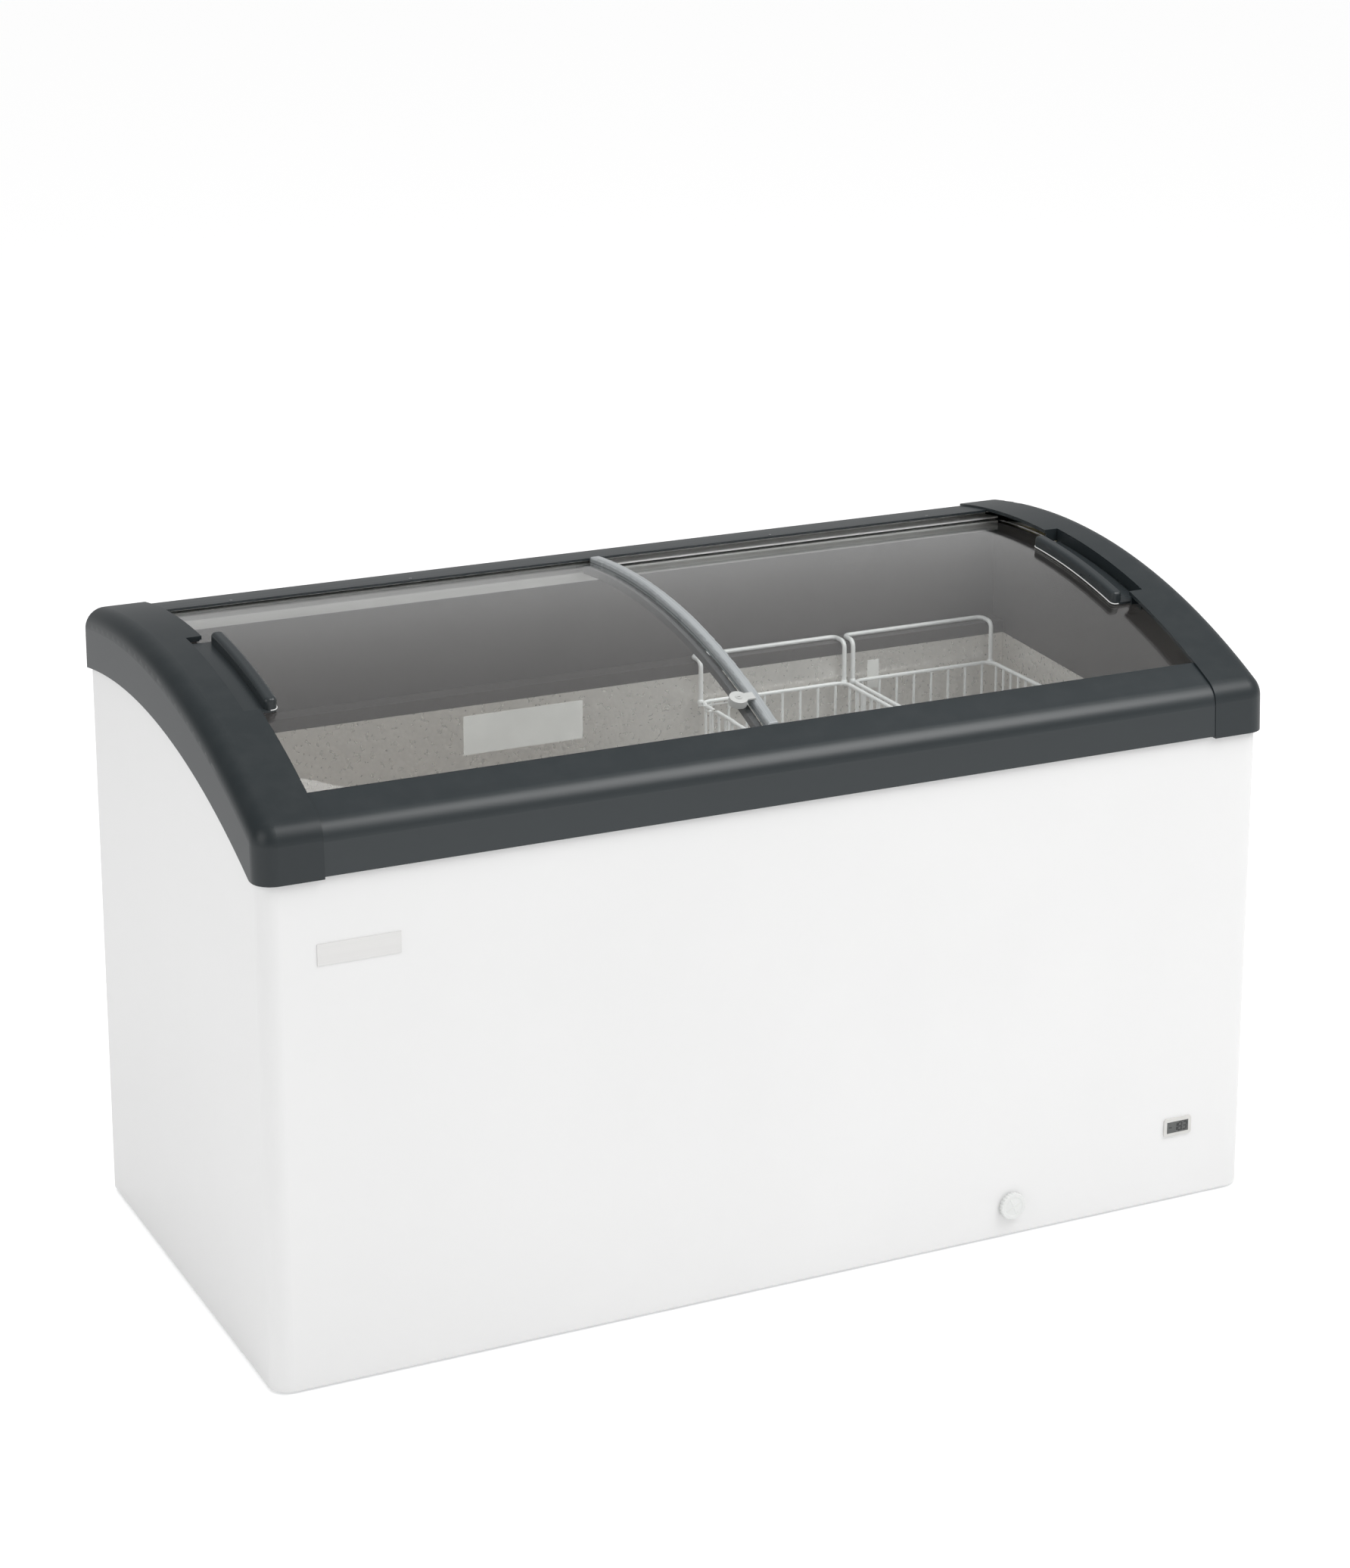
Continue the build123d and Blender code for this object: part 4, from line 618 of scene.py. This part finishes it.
# Turned profile: foot, quarter circle at the rim, face that drops into the dish. The flutes take
# depth * ((1 + cos(flutes * angle)) / 2)^2 off the radius near the edge.
def drainCap(s):
    low, high = boxOf("drain_cap")
    centre = ((low[0] + high[0]) / 2, high[1], (low[2] + high[2]) / 2)
    radius, depth = (high[0] - low[0]) / 2, high[1] - low[1]
    turn = np.linspace(0.0, np.pi / 2, s["roundSteps"])
    edge = np.stack([radius - s["round"] * (1 - np.cos(turn)),
                     depth - s["round"] * (1 - np.sin(turn))], 1)
    inner = np.linspace(radius - s["round"] * s["faceFrom"], s["pole"], s["faceRows"])
    drop = np.clip((s["dishRadius"] * radius - inner) / s["dishSlope"], 0.0, 1.0)
    profile = np.concatenate([[(radius - s["footInset"], 0.0), (radius, s["footRise"])], edge,
                              np.stack([inner, depth - s["dish"] * drop], 1)])

    def flute(r, angle):
        share = np.clip((r / radius - s["fluteFrom"]) / (1 - s["fluteFrom"]), 0.0, 1.0)
        return r - s["fluteDepth"] * share * (0.5 + 0.5 * np.cos(s["flutes"] * angle)) ** 2

    def cross(r, angle):
        nearest = crossDistance(r, angle + math.radians(s["crossTurn"]))
        rise = np.clip((s["crossHalf"] - nearest) / s["crossSlope"], 0.0, 1.0)
        return s["crossHeight"] * rise * (r < s["crossReach"] * radius)

    shell = turned(centre, (0, -1, 0), profile, s["sides"], flute, cross)
    piece = putPiece("drainCapFluted", [shell], "drain_plastic", "drain_cap_body",
                     s["sharp"])
    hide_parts("drain_cap")


drainCap(capSet)
print("drain cap made")


# Display digits: six sided bars of seven segment figures, leaning a little
digitSet = {
    "text": "-18.3",
    "height": 11.5 * mm,
    "width": 5.8 * mm,
    "pitch": 8.0 * mm,
    "bar": 1.6 * mm,
    "gap": 0.25 * mm,
    "dot": 0.6 * mm,             # half its side
    "lean": 0.11,                # sideways for each step up
    "thick": 0.08 * mm,
    "off": 0.1 * mm,             # in front of the screen
}
segments = {"-": "g", "1": "bc", "3": "abcdg", "8": "abcdefg"}


# Segments a to f run round the figure from its top left, and g crosses its middle.
def displayDigits(s):
    low, high = boxOf("lcd_screen")
    middle = (low + high) / 2
    face = low[1] - s["off"]
    w, h = s["width"] / 2, s["height"] / 2
    ends = {"a": ((-w, h), (w, h)), "b": ((w, h), (w, 0)), "c": ((w, 0), (w, -h)),
            "d": ((w, -h), (-w, -h)), "e": ((-w, -h), (-w, 0)), "f": ((-w, 0), (-w, h)),
            "g": ((-w, 0), (w, 0))}
    figures = s["text"].replace(".", "")
    start = middle[0] - s["pitch"] * (len(figures) - 1) / 2
    shells = []

    def bar(place, outline):
        x, z = np.array(outline, float).T
        leaning = np.stack([x + z * s["lean"] + start + place * s["pitch"], z + middle[2]], 1)
        shells.append(flatPlate(leaning, face, face - s["thick"]))

    for place, figure in enumerate(figures):
        for label in segments[figure]:
            a, b = (np.array(end, float) for end in ends[label])
            run = (b - a) / np.linalg.norm(b - a)
            side = np.array((-run[1], run[0])) * s["bar"] / 2
            point = run * s["bar"] / 2
            a, b = a + run * s["gap"], b - run * s["gap"]
            bar(place, [a, a + point + side, b - point + side, b, b - point - side,
                        a + point - side])
    d = s["dot"]
    bar(s["text"].index(".") - 0.5, [(-d, -h - d), (d, -h - d), (d, -h + d), (-d, -h + d)])
    putPiece("displayDigits", shells, "black_plastic", "cabinet")


displayDigits(digitSet)

# Screw heads on the machine cover; recess sizes are parts of the radius and height
screwSet = {
    "radius": 4.0 * mm,
    "height": 2.4 * mm,
    "foot": 0.97,
    "edge": 0.35,                # part of the height where the dome begins
    "crown": 0.8,                # under 1 makes the dome fuller
    "pole": 0.03,
    "recessHalf": 0.2,
    "recessReach": 0.68,
    "recessSlope": 0.12,
    "recessDepth": 0.75,
    "rows": 16,
    "sides": 48,
    "sharp": 50.0,               # degrees
}


# A dome turned from radius * cos(a) at height * (edge + (1 - edge) * sin(a)^crown), with a cross
# recess whose walls slope in and whose arms end short of the edge
def coverScrewHeads(s):
    radius = s["radius"]

    def recess(r, angle):
        nearest = crossDistance(r, angle)
        slope = s["recessSlope"] * radius
        inside = np.clip((s["recessHalf"] * radius - nearest) / slope, 0.0, 1.0)
        fade = np.clip((s["recessReach"] * radius - r) / slope, 0.0, 1.0)
        return -s["recessDepth"] * s["height"] * inside * fade

    a = np.linspace(0.0, np.pi / 2, s["rows"])
    rise = s["edge"] + (1 - s["edge"]) * np.sin(a) ** s["crown"]
    profile = np.concatenate([[(radius * s["foot"], 0.0)],
                              np.stack([radius * np.cos(a).clip(s["pole"]), s["height"] * rise], 1)])
    points = nodePoints("cover_screws")
    low, high = points.min(0) + radius, points.max(0) - radius
    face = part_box("machine_cover")[1][1]
    shells = [turned((x, face, z), (0, 1, 0), profile, s["sides"], None, recess)
              for x in (low[0], high[0]) for z in (low[2], high[2])]
    piece = putPiece("coverScrewHeads", shells, "screw_steel", "cabinet", s["sharp"])
    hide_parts("cover_screws")


coverScrewHeads(screwSet)
print("small pieces made")


# The circle a pane's outer face follows: a least squares fit of y^2 + z^2 = 2 a y + 2 b z + c to
# the pane's own points gives the centre (a, b), and the farthest point gives the radius.
def paneCircle(node):
    flat = nodePoints(node)[:, 1:]
    rows = np.column_stack([2 * flat, np.ones(len(flat))])
    centre = np.linalg.lstsq(rows, (flat ** 2).sum(1), rcond=None)[0][:2]
    return centre, np.linalg.norm(flat - centre, axis=1).max()


# Thin pale gasket line round the foot of each grip, on the side that faces the goods
gasketSet = {
    "radius": 0.75 * mm,
    "sides": 8,
    "corner": 7.5 * mm,
    "cornerSteps": 8,
    "clear": 0.6,                # in its own radii, from the grip
    "lift": 0.9 * mm,            # over the pane
    "grip": 18.0 * mm,
    "runSteps": 40,
}


# A path drawn in plan round the grip's two inner corners and lifted onto the pane's circle:
# z = z centre + sqrt(R^2 - (y - y centre)^2)
def gripGasket(name, handle, pane, body, side, s):
    low, high = boxOf(handle)
    centre, radius = paneCircle(pane)
    inner = low[0] if side > 0 else high[0]
    arc = inner + side * s["corner"]
    end = inner + side * (s["grip"] - s["corner"])
    off = s["radius"] * s["clear"]
    bend = s["corner"] + off
    turn = np.linspace(0.0, np.pi / 2, s["cornerSteps"])
    front = np.stack([arc - side * bend * np.sin(turn),
                      low[1] + s["corner"] - bend * np.cos(turn)], 1)
    back = np.stack([arc - side * bend * np.cos(turn),
                     high[1] - s["corner"] + bend * np.sin(turn)], 1)
    run = np.linspace(front[-1], back[0], s["runSteps"])[1:-1]
    plan = np.concatenate([[(end, low[1] - off)], front, run, back, [(end, high[1] + off)]])
    height = centre[1] + np.sqrt((radius + s["lift"]) ** 2 - (plan[:, 1] - centre[0]) ** 2)
    path = np.column_stack([plan, height])
    putPiece(name, [tube(path, s["radius"], s["sides"])], "drain_plastic", body)


for hand, side in (("right", 1), ("left", -1)):
    gripGasket(hand + "GripGasket", hand + "_lid_handle", hand + "_lid_glass", hand + "_lid", side,
               gasketSet)

# Skirts that close the gap between the collar's top and the end cap inside the handle notches
skirtSet = {
    "thick": 0.6 * mm,
    "off": 0.9 * mm,             # from the collar, towards the cap
    "overlap": 4.0 * mm,         # down over the collar
    "below": 3.2 * mm,           # under the cap's top
    "front": 3.0 * mm,           # past the grip, to the front and to the back
    "back": 10.0 * mm,
    "steps": 40,
}


# A strip between two circles about the pane's centre: z = z centre + sqrt(R^2 - (y - y centre)^2)
def notchSkirt(name, cap, collar, pane, handle, side, s):
    centre = paneCircle(pane)[0]
    lowest = np.linalg.norm(nodePoints(collar)[:, 1:] - centre, axis=1).max() - s["overlap"]
    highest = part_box(cap)[1][2] - centre[1] - s["below"]
    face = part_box(collar)[0 if side > 0 else 1][0] - side * s["off"]
    back = face - side * s["thick"]
    y = np.linspace(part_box(handle)[0][1] - s["front"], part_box(handle)[1][1] + s["back"], s["steps"])
    corners = [(face, lowest), (back, lowest), (back, highest), (face, highest)]
    points = np.stack([np.stack([np.full_like(y, x), y,
                                 centre[1] + np.sqrt(r ** 2 - (y - centre[0]) ** 2)], 1)
                       for x, r in corners], 1)
    shell = points.reshape(-1, 3), cappedFaces(len(y), len(corners))
    putPiece(name, [shell], "rim_plastic", "cabinet")


for hand, side in (("right", 1), ("left", -1)):
    notchSkirt(hand + "NotchSkirt", hand + "_end_cap", hand + "_collar", hand + "_lid_glass",
               hand + "_lid_handle", side, skirtSet)

# Hoods pressed out over the louvres of the machine cover
hoodSet = {
    "count": 9,
    "pitch": 15.0 * mm,
    "lowest": 45.0 * mm,
    "fromSide": 155.0 * mm,
    "length": 96.0 * mm,
    "height": 8.5 * mm,
    "above": 0.62,               # part of the height that lies over the slot's middle
    "rise": 3.4 * mm,
    "sheet": 0.8 * mm,
    "proud": 0.1 * mm,           # how far the edges stand off the cover, and sink into it
    "fade": 6,                   # the higher, the shorter the ends
    "pinch": 0.25,               # how much narrower the ends are
    "columns": 33,
    "rows": 11,
    "sharp": 50.0,               # degrees
}


# Along a slot u goes from -1 to 1, and down it v goes from 0 to 1. The sheet stands out by
# rise * (1 - u^fade) * sin(v * pi / 2), and its height narrows by pinch * u^fade.
def louvreHoods(s):
    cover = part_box("machine_cover")[1][1]
    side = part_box("outer_wrap")[1][0]
    columns, rows = s["columns"], s["rows"]
    u = np.linspace(-1.0, 1.0, columns)[:, None]
    v = np.linspace(0.0, 1.0, rows)[None, :]
    fade = u ** s["fade"]
    x = side - s["fromSide"] + u * s["length"] / 2
    outside = cover + s["proud"] + s["rise"] * (1 - fade) * np.sin(v * np.pi / 2)
    inside = np.maximum(outside - s["sheet"], cover - s["proud"])
    down = s["height"] * (s["above"] - v) * (1 - s["pinch"] * fade)
    rim = np.concatenate([np.arange(rows), np.arange(1, columns) * rows + rows - 1,
                          (columns - 1) * rows + np.arange(rows - 2, -1, -1),
                          np.arange(columns - 2, 0, -1) * rows])
    after = np.roll(rim, -1)
    count = columns * rows       # points in one sheet
    sheet = gridFaces(columns, rows, wrapColumns=False)
    walls = np.stack([rim, after, after + count, rim + count], 1)
    faces = np.concatenate([sheet, sheet[:, ::-1] + count, walls]).tolist()
    shells = []
    for number in range(s["count"]):
        z = s["lowest"] + number * s["pitch"] + down
        points = [np.stack(np.broadcast_arrays(x, y, z), -1).reshape(-1, 3)
                  for y in (outside, inside)]
        shells.append((np.concatenate(points), faces))
    putPiece("louvreHoods", shells, "cover_paint", "cabinet", s["sharp"])


louvreHoods(hoodSet)

# Plain ticks round the thermostat knob, with longer ones among them
tickSet = {"count": 11, "sweep": 300.0, "radius": 17.0 * mm, "longEvery": 5, "long": 4.0 * mm,
           "short": 2.4 * mm, "wide": 0.8 * mm, "thick": 0.12 * mm}


# Each tick is a flat bar that points out from the knob's axis.
def dialTicks(s):
    low, high = boxOf("thermostat_knob")
    centre = ((low + high) / 2)[[0, 2]]
    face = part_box("machine_cover")[1][1]
    shells = []
    sweep = np.radians(np.linspace(-s["sweep"] / 2, s["sweep"] / 2, s["count"]))
    for number, angle in enumerate(sweep):
        out = np.array((math.sin(angle), math.cos(angle)))
        side = np.array((out[1], -out[0])) * s["wide"] / 2
        near = out * s["radius"]
        far = near + out * s["short" if number % s["longEvery"] else "long"]
        outline = np.array([near - side, near + side, far + side, far - side]) + centre
        shells.append(flatPlate(outline, face, face + s["thick"]))
    putPiece("dialTicks", shells, "black_plastic", "cabinet")


dialTicks(tickSet)
print("gaskets, skirts, hoods and ticks made")


# Camera: the photograph's view from the front left and above
cameraSet = {
    "place": (-2.0668, -4.2795, 2.2069),
    "yaw": 25.71,                # degrees, from looking along +Y towards +X
    "pitch": 14.66,              # degrees, down
    "focalPixels": 4661.0,
    "imageSize": (1784.0, 2072.0),
    "sensor": 36.0,
    "shiftY": -0.15,
    "clip": (0.1, 100.0),
}


def addCamera(s):
    data = bpy.data.cameras.new("photoCamera")
    data.sensor_width = s["sensor"]
    data.lens = s["focalPixels"] / max(s["imageSize"]) * s["sensor"]
    data.shift_y = s["shiftY"]
    data.clip_start, data.clip_end = s["clip"]
    camera = bpy.data.objects.new("photoCamera", data)
    camera.location = s["place"]
    camera.rotation_euler = (math.radians(90.0 - s["pitch"]), 0.0, -math.radians(s["yaw"]))
    bpy.context.scene.collection.objects.link(camera)
    bpy.context.scene.camera = camera


addCamera(cameraSet)

# Studio: pale floor, white surroundings and large soft lamps. Reflections see a pale backdrop
# behind the freezer and a dimmer room elsewhere, as glass does in a photographer's studio.
studioSet = {
    "floorSize": 60.0,
    "floorColour": (0.92, 0.92, 0.92, 1.0),
    "floorRough": 0.8,
    "floorGlow": 0.43,           # lifts the floor to white where no shadow falls
    "ambient": 0.62,
    "backdropTop": (0.07, 0.15),  # sines of the height between which the backdrop ends
    "backdropSide": (0.0, 0.35),  # and of the turn towards the back where it begins
    "backdropLevel": 0.56,
    "roomLevel": 0.36,
    "roomLeft": 0.12,            # darker on the left, which gives the caps their shape
    "roomTurn": (-0.7, 0.25),    # sines of the turn to the right between which it lightens
    "tubLevel": 0.8,             # what rays leaving through the glass see
    "lamps": {                   # only mirrored ones show in reflections
        "keyLamp": {"place": (1.6, -2.0, 3.6), "aim": (0.0, 0.0, 0.6), "size": 2.6, "power": 79.0,
                    "mirrored": True},
        "sideLamp": {"place": (-3.6, -1.4, 2.2), "aim": (0.0, 0.0, 0.5), "size": 2.4, "power": 23.0,
                     "mirrored": True},
        "topLamp": {"place": (-0.4, 0.8, 3.7), "aim": (0.0, 0.0, 0.8), "size": 1.8, "power": 34.0,
                    "mirrored": False},
    },
}


white = (1.0, 1.0, 1.0, 1.0)


def addFloor(s):
    half = s["floorSize"] / 2
    mesh = bpy.data.meshes.new("studioFloor")
    mesh.from_pydata([(-half, -half, 0.0), (half, -half, 0.0), (half, half, 0.0), (-half, half, 0.0)],
                     [], [[0, 1, 2, 3]])
    floor = bpy.data.objects.new("studioFloor", mesh)
    bpy.context.scene.collection.objects.link(floor)
    material, tree, shader = startMaterial("studioFloor")[:3]
    mesh.materials.append(material)
    shader.inputs["Base Color"].default_value = s["floorColour"]
    shader.inputs["Roughness"].default_value = s["floorRough"]
    path = tree.nodes.new("ShaderNodeLightPath").outputs
    mirrored = mathNode(tree, "MULTIPLY", path["Is Glossy Ray"], s["roomLevel"])
    seen = mathNode(tree, "MAXIMUM", path["Is Camera Ray"],
                    mathNode(tree, "MAXIMUM", mirrored, path["Is Transmission Ray"]))
    glow = addNode(tree, "ShaderNodeEmission",
                   [("Color", white), ("Strength", mathNode(tree, "MULTIPLY", seen, s["floorGlow"]))])
    both = addNode(tree, "ShaderNodeAddShader", [(0, shader.outputs[0]), (1, glow.outputs[0])])
    tree.links.new(both.outputs[0], tree.nodes["Material Output"].inputs["Surface"])


# The world's level depends on the kind of ray: ambient light for diffuse rays, the room for
# glossy ones, and plain white for the camera.
def addWorld(s):
    world = bpy.data.worlds.new("studioWorld")
    bpy.context.scene.world = world
    world.use_nodes = True
    tree = world.node_tree
    background = tree.nodes["Background"].inputs
    background["Color"].default_value = white
    path = tree.nodes.new("ShaderNodeLightPath").outputs
    way = addNode(tree, "ShaderNodeSeparateXYZ",
                  [(0, tree.nodes.new("ShaderNodeTexCoord").outputs["Generated"])]).outputs
    low = mapRange(tree, way["Z"], *s["backdropTop"], 1.0, 0.0)
    behind = mapRange(tree, way["Y"], *s["backdropSide"])
    across = mapRange(tree, way["X"], *s["roomTurn"], s["roomLeft"], s["roomLevel"])

    def mixLevel(factor, first, second):
        return addNode(tree, "ShaderNodeMix", [(0, factor), (2, first), (3, second)]).outputs[0]

    room = mixLevel(mathNode(tree, "MULTIPLY", low, behind), across, s["backdropLevel"])
    level = s["ambient"]
    for ray, seen in (("Is Glossy Ray", room), ("Is Transmission Ray", s["tubLevel"]),
                      ("Is Camera Ray", 1.0)):
        level = mixLevel(path[ray], level, seen)
    tree.links.new(level, background["Strength"])


def addLamp(name, s):
    data = bpy.data.lights.new(name, "AREA")
    data.energy = s["power"]
    data.size = s["size"]
    light = bpy.data.objects.new(name, data)
    light.visible_glossy = s["mirrored"]
    way = np.array(s["aim"]) - np.array(s["place"])
    light.location = s["place"]
    light.rotation_euler = (math.atan2(math.hypot(way[0], way[1]), -way[2]), 0.0,
                            -math.atan2(way[0], way[1]))
    bpy.context.scene.collection.objects.link(light)


addFloor(studioSet)
addWorld(studioSet)
for name, lamp in studioSet["lamps"].items():
    addLamp(name, lamp)
bpy.context.scene.view_settings.view_transform = "Standard"
print("camera and studio made")
